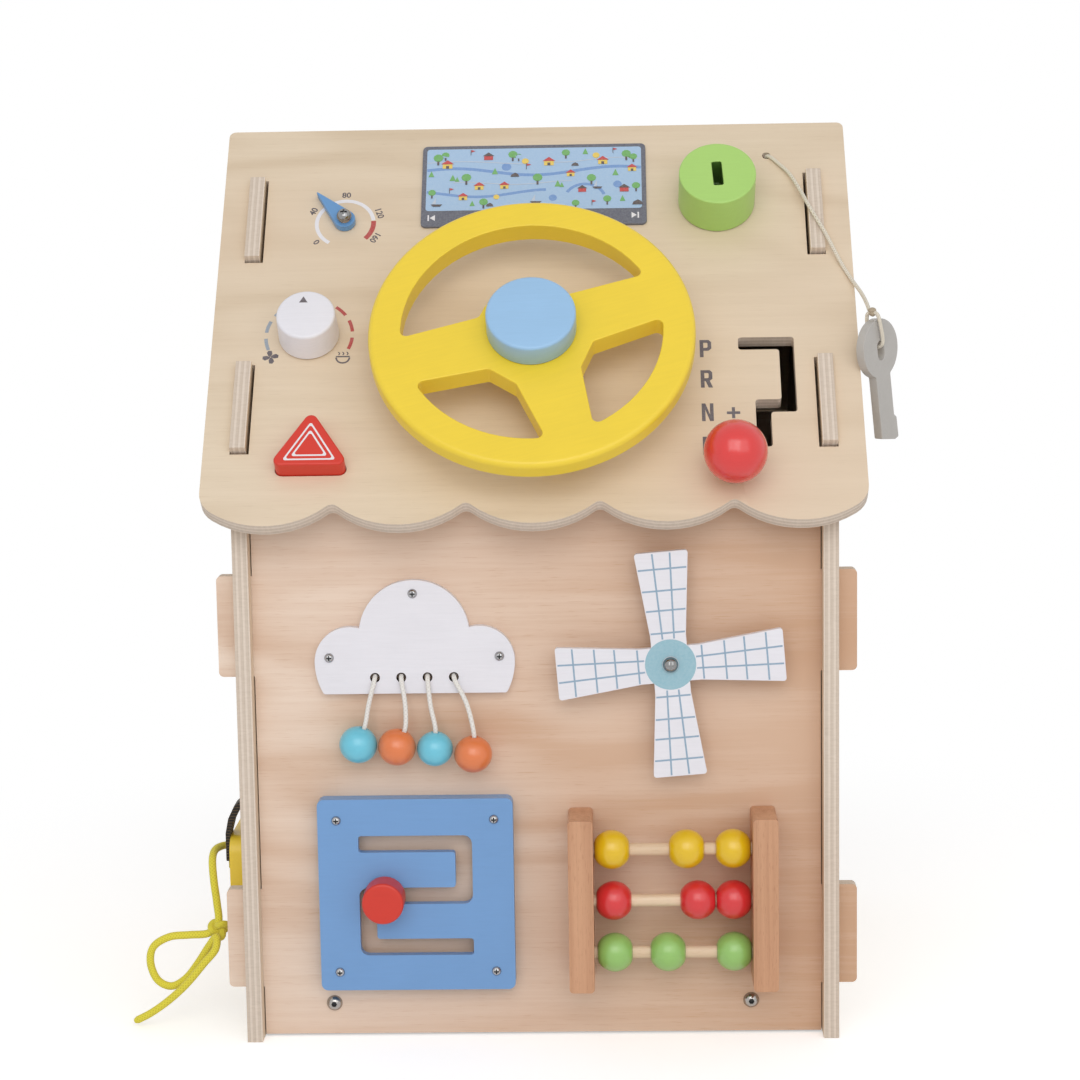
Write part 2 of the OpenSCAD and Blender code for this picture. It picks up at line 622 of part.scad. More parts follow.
// ---- dashboard ----
module screen_plate() color("slategray") on_roof() translate([0, 0, glue])
    linear_extrude(screen_t) soft_rect(screen_u0, screen_v0, screen_u1, screen_v1, 2.7);
module gauge_pointer() color("steelblue") on_roof() translate([-gauge_u, gauge_v, end_play])
    rotate([0, 0, pointer_turn]) linear_extrude(pointer_t) difference() {
        let (a = acos(pointer_r/pointer_l))
            polygon(concat(arc([0, 0], pointer_r, a, 360-a, 24), [[pointer_l, -0.3], [pointer_l, 0.3]]));
        circle(pivot_sleeve_r+run_play);
    }
module under_screw(reach) {
    translate([0, 0, -ply-end_play-2.8]) cylinder(r=pivot_shank_r*2.2, h=2.8);
    translate([0, 0, -ply-end_play-1]) cylinder(r=pivot_shank_r, h=ply+end_play+1+reach);
}
module climate_knob() color("white") on_roof() translate([-knob_u, knob_v, end_play]) difference() {
    turned(knob_r, knob_r-0.5, knob_h, 1.5);
    translate([0, 0, -1]) cylinder(r=pivot_shank_r, h=13);
}
module knob_screw() color("silver") on_roof() translate([-knob_u, knob_v, 0]) under_screw(end_play+11);
flange_t = 2;
bracket_w = hazard_w+15;
rail_w = 4;
bracket_in = hazard_travel+flange_t+3;
module hazard_button() color("red") on_roof() difference() {
    union() {
        translate([0, 0, -ply-glue-flange_t/2]) linear_extrude(ply+glue+flange_t/2+hazard_out) hazard_shape(0);
        translate([0, 0, -ply-0.1-flange_t]) linear_extrude(flange_t) hazard_shape(2.6);
    }
    translate([-hazard_u, hazard_v+hazard_h*0.4, -ply-bracket_in]) cylinder(r=5.4, h=bracket_in+5);
}
spring_w0 = -ply-bracket_in;
module button_spring() color("silver") on_roof() translate([-hazard_u, hazard_v+hazard_h*0.4, spring_w0+glue])
    difference() {
        cylinder(r=4.6, h=5-spring_w0-ply-0.2);
        translate([0, 0, -1]) cylinder(r=3.8, h=30);
    }
module button_bracket() color("dimgray") on_roof() translate([-hazard_u, hazard_v+hazard_h/2, 0]) {
    translate([-bracket_w/2, -hazard_h/2-3, spring_w0-2.2]) cube([bracket_w, hazard_h+6, 2.2]);
    for (x = [-bracket_w/2, bracket_w/2-rail_w]) translate([x, -hazard_h/2-3, spring_w0-2.2])
        cube([rail_w, hazard_h+6, bracket_in+2.2-glue]);
}
module on_lock() on_roof() translate([lock_u, lock_v, 0]) rotate([0, 0, lock_turn]) children();
module ignition_lock() color("yellowgreen") on_lock() translate([0, 0, end_play]) difference() {
    turned(lock_r, lock_r, lock_h, 1);
    translate([0, 0, lock_h-key_slot_depth]) linear_extrude(key_slot_depth+1)
        soft_rect(-key_slot_w/2, -key_slot_l/2, key_slot_w/2, key_slot_l/2, 1);
    translate([0, 0, -1]) cylinder(r=pivot_shank_r, h=lock_h-key_slot_depth-0.5);
}
module lock_screw() color("silver") on_roof() translate([lock_u, lock_v, 0])
    under_screw(end_play+lock_h-key_slot_depth-2);

// key on its cord, beside the roof
key_beside = 9;
key_at = roof_pt([roof_w/2+key_beside, 88.2, 2.5]);
key_t = 5;
key_w = 13;
module on_key() translate(key_at) rotate([0, 0, 50]) rotate([0, -9.5, 0]) children();
module key() color("silver") on_key() rotate([90, 0, 0]) translate([0, 0, -key_t/2]) linear_extrude(key_t)
    difference() {
        union() {
            circle(15.5);
            polygon([[-key_w/2, 0], [-key_w/2, -46.5], [key_w/2-1, -49.5], [key_w/2+2.2, -48.8],
                [key_w/2+2, -38], [key_w/2, -36.5], [key_w/2, 0]]);
        }
        soft_rect(-2.9, -6, 2.9, 4, 2.8);
    }
function roof_pt(p) = [p[0], -eave_y+p[1]*cos(roof_angle)-p[2]*sin(roof_angle),
    eave_z+p[1]*sin(roof_angle)+p[2]*cos(roof_angle)];
cord_route = concat([for (p = [[125.5, 220, -6], [125.6, 219.9, -1], [127.4, 218, 1.3], [131.5, 213.5, 1.3],
    [137.5, 205, 2], [143, 190, 4.6], [146, 181, 5.6], [153.6, 163, 5.6], [157.4, 154, 4], [162, 144, 1.5],
    [166.2, 134.5, 1.5]]) roof_pt(p)], [key_at+[-6.4, 20.4, 27.9], key_at+[-4.5, 10.7, 23.1],
    key_at+[-3.6, 4.5, 19.5]]);
module key_cord() color("ivory") cord(cord_route, 1, [1, 0.2, -0.6]);
loop_route = [[-1, -1.2, 19.5], [-1.2, -3.4, 17.5], [-0.8, -4.1, 12], [0, -4.1, 6], [0.2, -3.2, 2.2], [0.3, 0, 0.8],
    [0.2, 3.2, 2.2], [0, 4.1, 6], [-0.8, 4.1, 12], [-1.2, 3.4, 17.5], [-1, 1.2, 19.5]];
module key_loop() color("ivory") on_key() cord(loop_route, 1, [1, 0, 0]);

// ---- gear lever ----
gear_neck_r = gear_slot_w/2-gear_play;
module gear_ball() color("tomato") on_roof() translate([gear_u0, gear_v0, gear_ball_w]) difference() {
    sphere(d=gear_ball_d);
    translate([0, 0, -gear_ball_d/2-1]) cylinder(r=gear_neck_r, h=gear_ball_d/2+1);
    translate([0, 0, -gear_ball_d/2-eps]) cylinder(r=20, h=1+eps);
}
module gear_slider() color("peru") on_roof() translate([gear_u0, gear_v0, 0]) union() {
    translate([0, 0, -ply-end_play-2.4]) cylinder(r=gear_neck_r+3.6, h=2.4);
    translate([0, 0, -ply-end_play-2]) cylinder(r=gear_neck_r, h=ply+end_play+2+gear_ball_w-0.5);
    translate([0, 0, end_play]) cylinder(r=gear_neck_r+2.6, h=gear_ball_w-gear_ball_d/2+0.5);
}

// ---- rain cloud ----
screw_r = 1.4;
cloud_screws = [[-cloud_x-0.4, cloud_z+51.9], [-cloud_x-43.9, cloud_z+19], [-cloud_x+43.5, cloud_z+19]];
maze_screws = [for (x = [maze_x0+maze_screw_in, maze_x1-maze_screw_in],
    z = [maze_z0+maze_screw_in, maze_z1-maze_screw_in-1.2]) [x, z]];
rain_x = [for (i = [0:3]) -cloud_x-0.3+(i-1.5)*rain_pitch];
rain_z = cloud_z+rain_hole_h;
// sides that draw in to a flat foot, a bow at each side and a large bow in the middle, anticlockwise
// from the foot's right
function cloud_outline() = let (w = cloud_side+cloud_r2, c = [cloud_side, cloud_h2], m = [0, cloud_h1],
    d = norm(c-m), t = atan2(cloud_h2-cloud_h1, cloud_side),
    at_m = t + acos((d*d+cloud_r1*cloud_r1-cloud_r2*cloud_r2)/(2*d*cloud_r1)),
    at_c = 180 + t - acos((d*d+cloud_r2*cloud_r2-cloud_r1*cloud_r1)/(2*d*cloud_r2)),
    k = (cloud_h2*cloud_h2+cloud_draw*cloud_draw)/(2*cloud_draw), a = asin(cloud_h2/k))
    soft(concat(arc([w-k, cloud_h2], k, -a, 0, 6), arc(c, cloud_r2, 6, at_c, 14),
        arc(m, cloud_r1, at_m+4, 176-at_m, 22), arc([-cloud_side, cloud_h2], cloud_r2, 180-at_c, 174, 14),
        arc([k-w, cloud_h2], k, 180, 180+a, 6)),
        [for (i = [0:66]) i == 0 || i == 66 ? cloud_corner_r : 0]);
module cloud_board() color("white") on_front() translate([0, 0, glue]) linear_extrude(cloud_t) difference() {
    translate([-cloud_x, cloud_z]) polygon(cloud_outline());
    for (x = rain_x) translate([x, rain_z]) circle(d=rain_hole_d);
    for (p = cloud_screws) translate(p) circle(screw_r);
}
module board_screw(t) difference() {
    union() {
        translate([0, 0, t+2*glue]) dome(2.5, 1.9);
        translate([0, 0, -ply+1]) cylinder(r=screw_r, h=ply+t);
    }
    translate([0, 0, t+1.9]) cross_cut(2.6, 0.7, 0.9);
}
module board_screws() color("silver") on_front() {
    for (p = cloud_screws) translate([p[0], p[1], 0]) board_screw(cloud_t);
    for (p = maze_screws) translate([p[0], p[1], 0]) board_screw(maze_t);
    for (x = [post_x0, post_x1], z = [rod_z0, rod_z2]) translate([x, z, -ply]) mirror([0, 0, 1]) {
        translate([0, 0, glue]) dome(2.5+slot_fit+0.6, 1.9);
        translate([0, 0, -ply-7]) cylinder(r=screw_r, h=ply+8);
    }
}
// bead middles, (x, distance from the panel, z), and the lean of each bead
bead_out = rain_bead_d/2+0.4;
rain_beads = [[-92, bead_out, 158.2, 20], [-72.1, bead_out+1.2, 157, 24], [-52.7, bead_out-0.4, 155.6, 2],
    [-33.1, bead_out+0.8, 152.8, 3]];
rain_mid = [[-86.4, 8.2, 178.5], [-67.6, 8.6, 178.5], [-54.6, 8.2, 177.5], [-36, 8.6, 178.5]];
function rain_top(i, k) = let (b = rain_beads[i]) [b[0]+k*sin(b[3]), b[1], b[2]+k*cos(b[3])];
function rain_route(i) = [[rain_x[i], 3.4, rain_z+0.5], [rain_x[i], 4.8, rain_z+0.4],
    [rain_x[i]+(rain_mid[i][0]-rain_x[i])*0.15, 7.1, rain_z-2.2], rain_mid[i], rain_top(i, 11), rain_top(i, 2)];
module rain_string(i) color("ivory") on_front()
    cord([for (p = rain_route(i)) [p[0], p[2], p[1]]], 1.2, [1, 0, 0.05]);
module rain_bead(i, c) color(c) on_front() let (b = rain_beads[i], d = rain_bead_d-(i == 2 ? rain_small : 0))
    translate([b[0], b[2], b[1]]) rotate([0, 0, -b[3]]) rotate([-90, 0, 0]) difference() {
        intersection() {
            sphere(d=d);
            cube([40, 40, d-1], center=true);
        }
        cylinder(d=rain_bore_d, h=30, center=true);
    }

// ---- windmill ----
module windmill() color("lightblue") on_front() translate([mill_x, mill_z, mill_lift])
    rotate([0, 0, mill_turn]) linear_extrude(mill_t) difference() {
        union() {
            circle(mill_hub_r);
            for (a = [0:90:270]) rotate(a) {
                n = mill_neck_w/2; t = mill_tip_w/2;
                polygon(soft([[-n, 5], [n, 5], [n, mill_neck_r], [t, mill_r], [-t, mill_r], [-n, mill_neck_r]],
                    [0, 0, 6, 1.5, 1.5, 6]));
            }
        }
        circle(pivot_sleeve_r+run_play);
    }

// ---- slot maze ----
maze_path = [[maze_slot_x0, maze_slot_z2], [maze_slot_x1, maze_slot_z2], [maze_slot_x1, maze_slot_z1],
    [maze_slot_x0, maze_slot_z1], [maze_slot_x0, maze_slot_z0], [maze_slot_x1, maze_slot_z0]];
module maze_board() color("cornflowerblue") on_front() translate([0, 0, glue]) difference() {
    linear_extrude(maze_t) difference() {
        soft_rect(maze_x0, maze_z0, maze_x1, maze_z1, maze_corner_r);
        slot_path(maze_path, maze_slot_w, maze_end_r, maze_outer_r, maze_end_r);
        for (p = maze_screws) translate(p) circle(screw_r);
    }
    translate([0, 0, -1]) linear_extrude(maze_channel_h+1)
        slot_path(maze_path, maze_channel_w, maze_outer_r, maze_outer_r, 0);
}
maze_neck_r = maze_slot_w/2-maze_play;
module on_maze() on_front() translate([maze_slot_x0+maze_knob_dx, maze_slot_z1, 0]) children();
module maze_knob() color("red") on_maze() translate([0, 0, maze_t+end_play]) difference() {
    turned(maze_knob_r, maze_knob_r, maze_knob_h, 1.5);
    translate([0, 0, -1]) cylinder(r=maze_neck_r, h=7);
}
module maze_slider() color("peru") on_maze() translate([0, 0, end_play]) union() {
    cylinder(r=maze_channel_w/2-0.5, h=maze_channel_h-2*end_play);
    cylinder(r=maze_neck_r, h=maze_t+5);
}

// ---- bead frame ----
module abacus_posts() color("sienna") on_front() for (x = [post_x0, post_x1]) difference() {
    translate([0, 0, glue]) linear_extrude(post_d) soft_rect(x-post_w/2, post_z0, x+post_w/2, post_z1, post_r);
    for (z = [rod_z0, rod_z1, rod_z2]) translate([post_x0+post_w/2-rod_seat, z, rod_out]) rotate([0, 90, 0])
        cylinder(d=rod_d, h=rod_l);
    for (z = [rod_z0, rod_z2]) translate([x, z, -1]) cylinder(r=screw_r, h=8.2);
}
rod_l = post_x1-post_x0-post_w+2*rod_seat;
module abacus_rods() color("burlywood") on_front() for (z = [rod_z0, rod_z1, rod_z2])
    translate([post_x0+post_w/2-rod_seat+glue, z, rod_out]) rotate([0, 90, 0]) cylinder(d=rod_d, h=rod_l-2*glue);
// places of the beads, measured from the left post's inner face
yellow_at = [9.5, 47.8, 71.6];
red_at = [10.3, 53.4, 71.8];
green_at = [10.6, 37.9, 71.9];
module rod_bead(z, at, c) color(c) on_front() translate([post_x0+post_w/2+at, z, rod_out]) rotate([0, 90, 0])
    rotate_extrude() difference() {
        intersection() {
            circle(d=bead_d, $fn=96);
            translate([0, -bead_l/2]) square([bead_d, bead_l]);
        }
        translate([-1, -bead_l]) square([1+rod_d/2+run_play, 2*bead_l]);
    }

// ---- left wall ----
// peg and screw holes in the left wall: (forward of the middle, height, radius)
side_pegs = [[92, 33.9, 2], [105, 243, 1.5]];
eyelet_a = [56, 66, 76];
eyelet_r = lace_d/2+0.3;
module shoe_board() color("goldenrod") on_left() translate([0, 0, glue]) linear_extrude(shoe_t) difference() {
    union() {
        soft_rect(shoe_front-shoe_l, shoe_z0, shoe_front, shoe_z0+shoe_toe_h, 9);
        soft_rect(shoe_front-shoe_l, shoe_z0, shoe_front-shoe_l/2, shoe_z0+shoe_heel_h, 9);
    }
    for (a = eyelet_a, z = eyelet_z) translate([a, z]) circle(eyelet_r);
}
eyelet_z = [shoe_z0+9.5, shoe_z0+22];
module shoe_strap() color("black") on_left() translate([strap_a, 0, 0]) rotate([90, 0, 90]) linear_extrude(strap_w)
    let (c = shoe_t+glue+0.05, t = strap_t, z = shoe_z0+shoe_toe_h)
    polygon([[z+22, glue], [z+20.5, 5], [z+16.5, 9.5], [z+9.5, c+0.8], [z+1.5, c+t], [z-13.5, c+t],
        [z-13.5, c], [z+0.6, c], [z+7.4, c-1.8], [z+13.6, c-5], [z+17.6, 4], [z+19, glue]]);
strap_a = eyelet_a[2]+eyelet_r+7;
// lace bars over the board and the knot of the bow
module shoe_lace() color("khaki") on_left() {
    for (a = eyelet_a) let (z0 = eyelet_z[0], z1 = eyelet_z[1], c = shoe_t+glue+lace_d/2+0.1) union() {
        translate([a, z0, c]) rotate([-90, 0, 0]) cylinder(d=lace_d, h=z1-z0);
        for (z = [z0, z1]) translate([a, z, c]) { sphere(d=lace_d); translate([0, 0, -7]) cylinder(d=lace_d, h=7); }
    }
    translate([112, 52.5, 17.6]) intersection() { sphere(r=6.4); cube([13, 13, 11], center=true); }
}
lace_route = [[-168.6, -80, 90], [-172.6, -84.5, 90.6], [-175.4, -93, 90.4], [-175.6, -101.5, 87],
    [-174.4, -106.5, 77], [-172.8, -109, 66], [-172, -111.5, 56], [-177, -113, 50.6], [-187.4, -113.5, 49.8],
    [-198, -113.5, 48.8], [-206.6, -113.5, 43.6], [-208.6, -113.5, 34.8], [-205.2, -113.5, 25.4],
    [-197.9, -113.5, 21.8], [-190, -113.5, 26], [-183, -114, 34.8], [-177.4, -115.5, 43.4],
    [-172.4, -118.4, 50], [-172.6, -121, 44], [-179, -121.5, 36.4], [-188, -120, 25.6],
    [-197.5, -118.5, 16.5], [-208, -117, 8.6], [-217.6, -116, 3.4]];
module lace_bow() color("khaki") cord(lace_route, lace_d/2-0.2, [0.12, 1, 0.1]);
module side_peg() color("dimgray") on_left() translate([side_pegs[0][0], side_pegs[0][1], 0]) {
    cylinder(r=4, h=13.8);
    translate([0, 0, -ply+1]) cylinder(r=side_pegs[0][2], h=ply);
    translate([0, 0, 13.6]) turned(6.9, 6.9, 1.3, 0.5);
}
module side_screw() color("dimgray") on_left() translate([side_pegs[1][0], side_pegs[1][1], 0]) {
    translate([0, 0, glue]) dome(3.3, 2.6);
    translate([0, 0, -ply+1]) cylinder(r=side_pegs[1][2], h=ply);
}

side_wall_left();
side_wall_right();
front_panel();
back_panel();
bottom_panel();
roof_front();
roof_back();
panel_bolts();
panel_nuts();
screen_plate();
steering_wheel();
wheel_hub_cap();
wheel_bolt();
wheel_nut();
pivot_spacers();
pivot_screws();
gauge_pointer();
climate_knob();
knob_screw();
hazard_button();
button_spring();
button_bracket();
ignition_lock();
lock_screw();
key();
key_cord();
key_loop();
gear_ball();
gear_slider();
cloud_board();
board_screws();
rain_string(0);  // rain_string_1
rain_string(1);  // rain_string_2
rain_string(2);  // rain_string_3
rain_string(3);  // rain_string_4
rain_bead(0, "deepskyblue");  // rain_bead_1
rain_bead(1, "darkorange");  // rain_bead_2
rain_bead(2, "deepskyblue");  // rain_bead_3
rain_bead(3, "darkorange");  // rain_bead_4
windmill();
maze_board();
maze_knob();
maze_slider();
abacus_posts();
abacus_rods();
rod_bead(rod_z2, yellow_at[0], "gold");  // yellow_bead_1
rod_bead(rod_z2, yellow_at[1], "gold");  // yellow_bead_2
rod_bead(rod_z2, yellow_at[2], "gold");  // yellow_bead_3
rod_bead(rod_z1, red_at[0], "crimson");  // red_bead_1
rod_bead(rod_z1, red_at[1], "crimson");  // red_bead_2
rod_bead(rod_z1, red_at[2], "crimson");  // red_bead_3
rod_bead(rod_z0, green_at[0], "limegreen");  // green_bead_1
rod_bead(rod_z0, green_at[1], "limegreen");  // green_bead_2
rod_bead(rod_z0, green_at[2], "limegreen");  // green_bead_3
shoe_board();
shoe_strap();
shoe_lace();
lace_bow();
side_peg();
side_screw();
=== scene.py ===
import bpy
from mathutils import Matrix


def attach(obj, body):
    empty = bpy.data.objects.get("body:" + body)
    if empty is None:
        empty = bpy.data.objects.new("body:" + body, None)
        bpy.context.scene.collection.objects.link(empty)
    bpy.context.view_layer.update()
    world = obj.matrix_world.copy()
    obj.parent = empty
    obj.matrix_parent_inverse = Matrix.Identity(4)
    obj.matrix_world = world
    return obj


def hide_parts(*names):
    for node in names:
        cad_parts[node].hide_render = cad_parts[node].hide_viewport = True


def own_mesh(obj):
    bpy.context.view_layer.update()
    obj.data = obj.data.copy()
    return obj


bl_info = {
    "name": "Wooden Busy Board",
    "version": (1, 0, 0),
    "blender": (4, 5, 0),
    "location": "View3D > Sidebar > Busy Board",
    "description": "Dresses the busy board with wood, paint, prints and cords, and sets its studio",
    "category": "Object",
}

from math import acos, asin, cos, degrees, pi, radians, sin, sqrt

import bpy
from bpy.props import FloatProperty, FloatVectorProperty, IntProperty, PointerProperty
from mathutils import Matrix, Vector

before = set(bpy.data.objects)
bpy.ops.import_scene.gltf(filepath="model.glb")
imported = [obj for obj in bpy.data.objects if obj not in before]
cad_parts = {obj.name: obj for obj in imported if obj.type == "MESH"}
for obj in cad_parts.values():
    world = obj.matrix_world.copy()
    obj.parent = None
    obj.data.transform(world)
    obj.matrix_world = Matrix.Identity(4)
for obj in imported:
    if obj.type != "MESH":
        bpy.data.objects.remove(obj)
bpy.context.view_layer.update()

MM = 0.001
# Points of a new mesh, or of a solid's copy, that are closer than this are one point
MERGE = 0.002 * MM
COPY_MERGE = 0.01 * MM
# How far a print lies off its board, and how thick it is, in millimetres
PRINT_GAP = 0.02
PRINT_THICK = 0.05

# ---- places on the object: local x, y on a face and z out of it -------------------------------

ROOF_PITCH = 50
EAVE_OUT, EAVE_UP = 0.156, 0.2855
PANEL_OUT = 0.132
WALL_OUT = 0.154
FLOOR_UP = 0.0219

UPRIGHT = Matrix.Rotation(radians(90), 4, "X")
ROOF = Matrix.Translation((0, -EAVE_OUT, EAVE_UP)) @ Matrix.Rotation(radians(ROOF_PITCH), 4, "X")
FRONT = Matrix.Translation((0, -PANEL_OUT, 0)) @ UPRIGHT
LEFT = Matrix.Translation((-WALL_OUT, 0, 0)) @ Matrix.Rotation(radians(-90), 4, "Z") @ UPRIGHT
RIGHT = Matrix.Translation((WALL_OUT, 0, 0)) @ Matrix.Rotation(radians(90), 4, "Z") @ UPRIGHT
TURNED = Matrix.Rotation(pi, 4, "Z")
FLOOR_PANEL = Matrix.Translation((0, 0, FLOOR_UP))


def on(face, x, y, z=0.0, turn=0.0):
    """A place on a face, in millimetres and degrees."""
    place = Matrix.Translation(Vector((x, y, z)) * MM)
    return face @ place @ Matrix.Rotation(radians(turn), 4, "Z")


# ---- editing helpers ------------------------------------------------------------------------


def start_clean():
    if bpy.context.object and bpy.context.object.mode != "OBJECT":
        bpy.ops.object.mode_set(mode="OBJECT")
    bpy.ops.object.select_all(action="DESELECT")


def pick(obj):
    start_clean()
    obj.select_set(True)
    bpy.context.view_layer.objects.active = obj
    return obj


def settle(obj, place=None):
    """Puts the object's place into its mesh and leaves the object at the origin."""
    pick(obj)
    if place is not None:
        obj.matrix_world = place @ obj.matrix_world
    bpy.ops.object.transform_apply(location=True, rotation=True, scale=True)
    return obj


def edit_all(obj):
    pick(obj)
    bpy.ops.object.mode_set(mode="EDIT")
    bpy.ops.mesh.select_all(action="SELECT")


def close_edit():
    bpy.ops.mesh.remove_doubles(threshold=MERGE)
    bpy.ops.mesh.normals_make_consistent(inside=False)
    bpy.ops.object.mode_set(mode="OBJECT")


def apply_modifier(obj, kind, **settings):
    pick(obj)
    bpy.ops.object.modifier_add(type=kind)
    modifier = obj.modifiers[-1]
    for key, value in settings.items():
        setattr(modifier, key, value)
    bpy.ops.object.modifier_apply(modifier=modifier.name)


def round_edges(obj, width, segments=3, angle=30):
    """Rounds every sharp edge by a width in millimetres and evens out the shading."""
    apply_modifier(obj, "BEVEL", width=width * MM, segments=segments, limit_method="ANGLE",
                   angle_limit=radians(angle), use_clamp_overlap=True, miter_outer="MITER_ARC")
    smooth(obj, 40)
    apply_modifier(obj, "WEIGHTED_NORMAL", mode="FACE_AREA", weight=60, keep_sharp=True)


def smooth(obj, angle=35):
    pick(obj)
    bpy.ops.object.shade_smooth_by_angle(angle=radians(angle))


def copy_of(node, name):
    """A merged, cleaned copy of a solid's mesh as a piece of its own."""
    obj = bpy.data.objects.new(name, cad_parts[node].data.copy())
    bpy.context.scene.collection.objects.link(obj)
    obj.data.materials.clear()
    pick(obj)
    bpy.ops.mesh.customdata_custom_splitnormals_clear()
    edit_all(obj)
    bpy.ops.mesh.remove_doubles(threshold=COPY_MERGE)
    bpy.ops.mesh.dissolve_limited(angle_limit=radians(0.6), delimit={"NORMAL"})
    bpy.ops.mesh.select_all(action="SELECT")
    bpy.ops.mesh.normals_make_consistent(inside=False)
    bpy.ops.object.mode_set(mode="OBJECT")
    return obj


def turned(name, profile, steps=64):
    """A turned piece. The profile's points are (radius, height) in millimetres, from the foot up,
    and a profile that ends where it began leaves a bore."""
    start_clean()
    radius, height = profile[0]
    bpy.ops.mesh.primitive_circle_add(vertices=steps, radius=radius * MM, fill_type="NOTHING",
                                      location=(0, 0, height * MM))
    obj = bpy.context.object
    obj.name = name
    bpy.ops.object.transform_apply(location=True, rotation=True, scale=True)
    edit_all(obj)
    for (r0, z0), (r1, z1) in zip(profile, profile[1:]):
        step, spread = (0, 0, (z1 - z0) * MM), r1 / r0
        bpy.ops.mesh.extrude_region_move(TRANSFORM_OT_translate={"value": step})
        bpy.ops.transform.resize(value=(spread, spread, 1), center_override=(0, 0, z1 * MM))
    bpy.ops.mesh.select_all(action="SELECT")
    bpy.ops.mesh.remove_doubles(threshold=MERGE)
    if profile[0] != profile[-1]:
        bpy.ops.mesh.select_all(action="DESELECT")
        bpy.ops.mesh.select_non_manifold()
        bpy.ops.mesh.fill_holes(sides=0)
        bpy.ops.mesh.select_all(action="SELECT")
    close_edit()
    smooth(obj, 40)
    return obj


def bow(cx, cy, r, a0, a1, n=6):
    """Points on an arc, in degrees."""
    angles = [radians(a0 + (a1 - a0) * i / n) for i in range(n + 1)]
    return [(cx + r * cos(angle), cy + r * sin(angle)) for angle in angles]


def flat(name, outlines, thick=PRINT_THICK):
    """A thin flat piece on the plane z = 0, from closed outlines in millimetres; an outline inside
    another is a hole."""
    shape = bpy.data.curves.new(name, "CURVE")
    shape.dimensions = "2D"
    shape.fill_mode = "BOTH"
    shape.extrude = thick * MM / 2
    for outline in outlines:
        spline = shape.splines.new("POLY")
        spline.points.add(len(outline) - 1)
        for point, (x, y) in zip(spline.points, outline):
            point.co = (x * MM, y * MM, 0, 1)
        spline.use_cyclic_u = True
    obj = bpy.data.objects.new(name, shape)
    bpy.context.scene.collection.objects.link(obj)
    pick(obj)
    bpy.ops.object.convert(target="MESH")
    obj = bpy.context.object
    obj.location.z = thick * MM / 2
    settle(obj)
    edit_all(obj)
    close_edit()
    return obj


def word(text, size, name, bold=0.0):
    """Characters as a thin flat piece, centred on the origin; size is their height, in millimetres,
    and bold thickens their strokes."""
    start_clean()
    bpy.ops.object.text_add()
    obj = bpy.context.object
    obj.name = name
    obj.data.body = text
    obj.data.align_x = "CENTER"
    obj.data.align_y = "CENTER"
    obj.data.size = 1.0
    obj.data.resolution_u = 4
    obj.data.offset = bold
    bpy.ops.object.convert(target="MESH")
    obj = bpy.context.object
    ys = [v.co.y for v in obj.data.vertices]
    xs = [v.co.x for v in obj.data.vertices]
    scale = size * MM / (max(ys) - min(ys))
    centre = Vector(((max(xs) + min(xs)) / 2, (max(ys) + min(ys)) / 2, 0))
    settle(obj, Matrix.Scale(scale, 4) @ Matrix.Translation(-centre))
    apply_modifier(obj, "SOLIDIFY", thickness=PRINT_THICK * MM, offset=1.0)
    edit_all(obj)
    close_edit()
    return obj


def join(name, pieces):
    start_clean()
    for piece in pieces:
        piece.select_set(True)
    bpy.context.view_layer.objects.active = pieces[0]
    bpy.ops.object.join()
    pieces[0].name = name
    return pieces[0]


def paint_faces(obj, chooser):
    """Gives each face the material slot whose number the chooser returns for it."""
    for face in obj.data.polygons:
        face.material_index = chooser(face)


def ready(obj, body, materials, replaces=()):
    """Gives the piece its finish, hangs it on the empty of the body that it rides on, and hides the
    solids that it stands for.
    """
    for material in materials if isinstance(materials, (list, tuple)) else [materials]:
        obj.data.materials.append(material)
    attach(obj, body)
    if replaces:
        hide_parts(*replaces)
    return obj


def eased(node, name, width, segments, body, slot, *coats):
    """A solid's copy with its sharp edges rounded by a width in millimetres, ready as a piece."""
    obj = copy_of(node, name)
    round_edges(obj, width, segments)
    return ready(obj, body, [finish(coat) for coat in coats], [node])


def printed(name, outlines, place, body, colour):
    """A flat print, in place and ready as a piece."""
    return ready(settle(flat(name, outlines), place), body, finish(colour))


# ---- shader helpers -------------------------------------------------------------------------


def wire(tree, kind, inputs=None, **settings):
    """A shader node with its settings and its inputs, each a value or another node's output."""
    made = tree.nodes.new(kind)
    for key, value in settings.items():
        setattr(made, key, value)
    for key, value in (inputs or {}).items():
        if isinstance(value, bpy.types.NodeSocket):
            tree.links.new(value, made.inputs[key])
        else:
            made.inputs[key].default_value = value
    return made


def maths(tree, operation, *values):
    return wire(tree, "ShaderNodeMath", dict(enumerate(values)), operation=operation).outputs[0]


def ramp(tree, value, stops):
    """A grey ramp through stops of (position, grey)."""
    made = wire(tree, "ShaderNodeValToRGB", {"Fac": value})
    elements = made.color_ramp.elements
    while len(elements) < len(stops):
        elements.new(0.5)
    for element, (position, grey) in zip(elements, stops):
        element.position = position
        element.color = (grey, grey, grey, 1)
    return made.outputs["Color"]


def as_value(tree, colour):
    return wire(tree, "ShaderNodeRGBToBW", {"Color": colour}).outputs[0]


def as_parts(tree, vector):
    return wire(tree, "ShaderNodeSeparateXYZ", {"Vector": vector}).outputs


def fitted(tree, value, low, high, low_out=0.0, high_out=1.0):
    """A value from one range fitted to another, and held within it."""
    return wire(tree, "ShaderNodeMapRange", {"Value": value, "From Min": low, "From Max": high,
                                             "To Min": low_out, "To Max": high_out}).outputs[0]


def own_place(tree, kind="Object"):
    return wire(tree, "ShaderNodeTexCoord").outputs[kind]


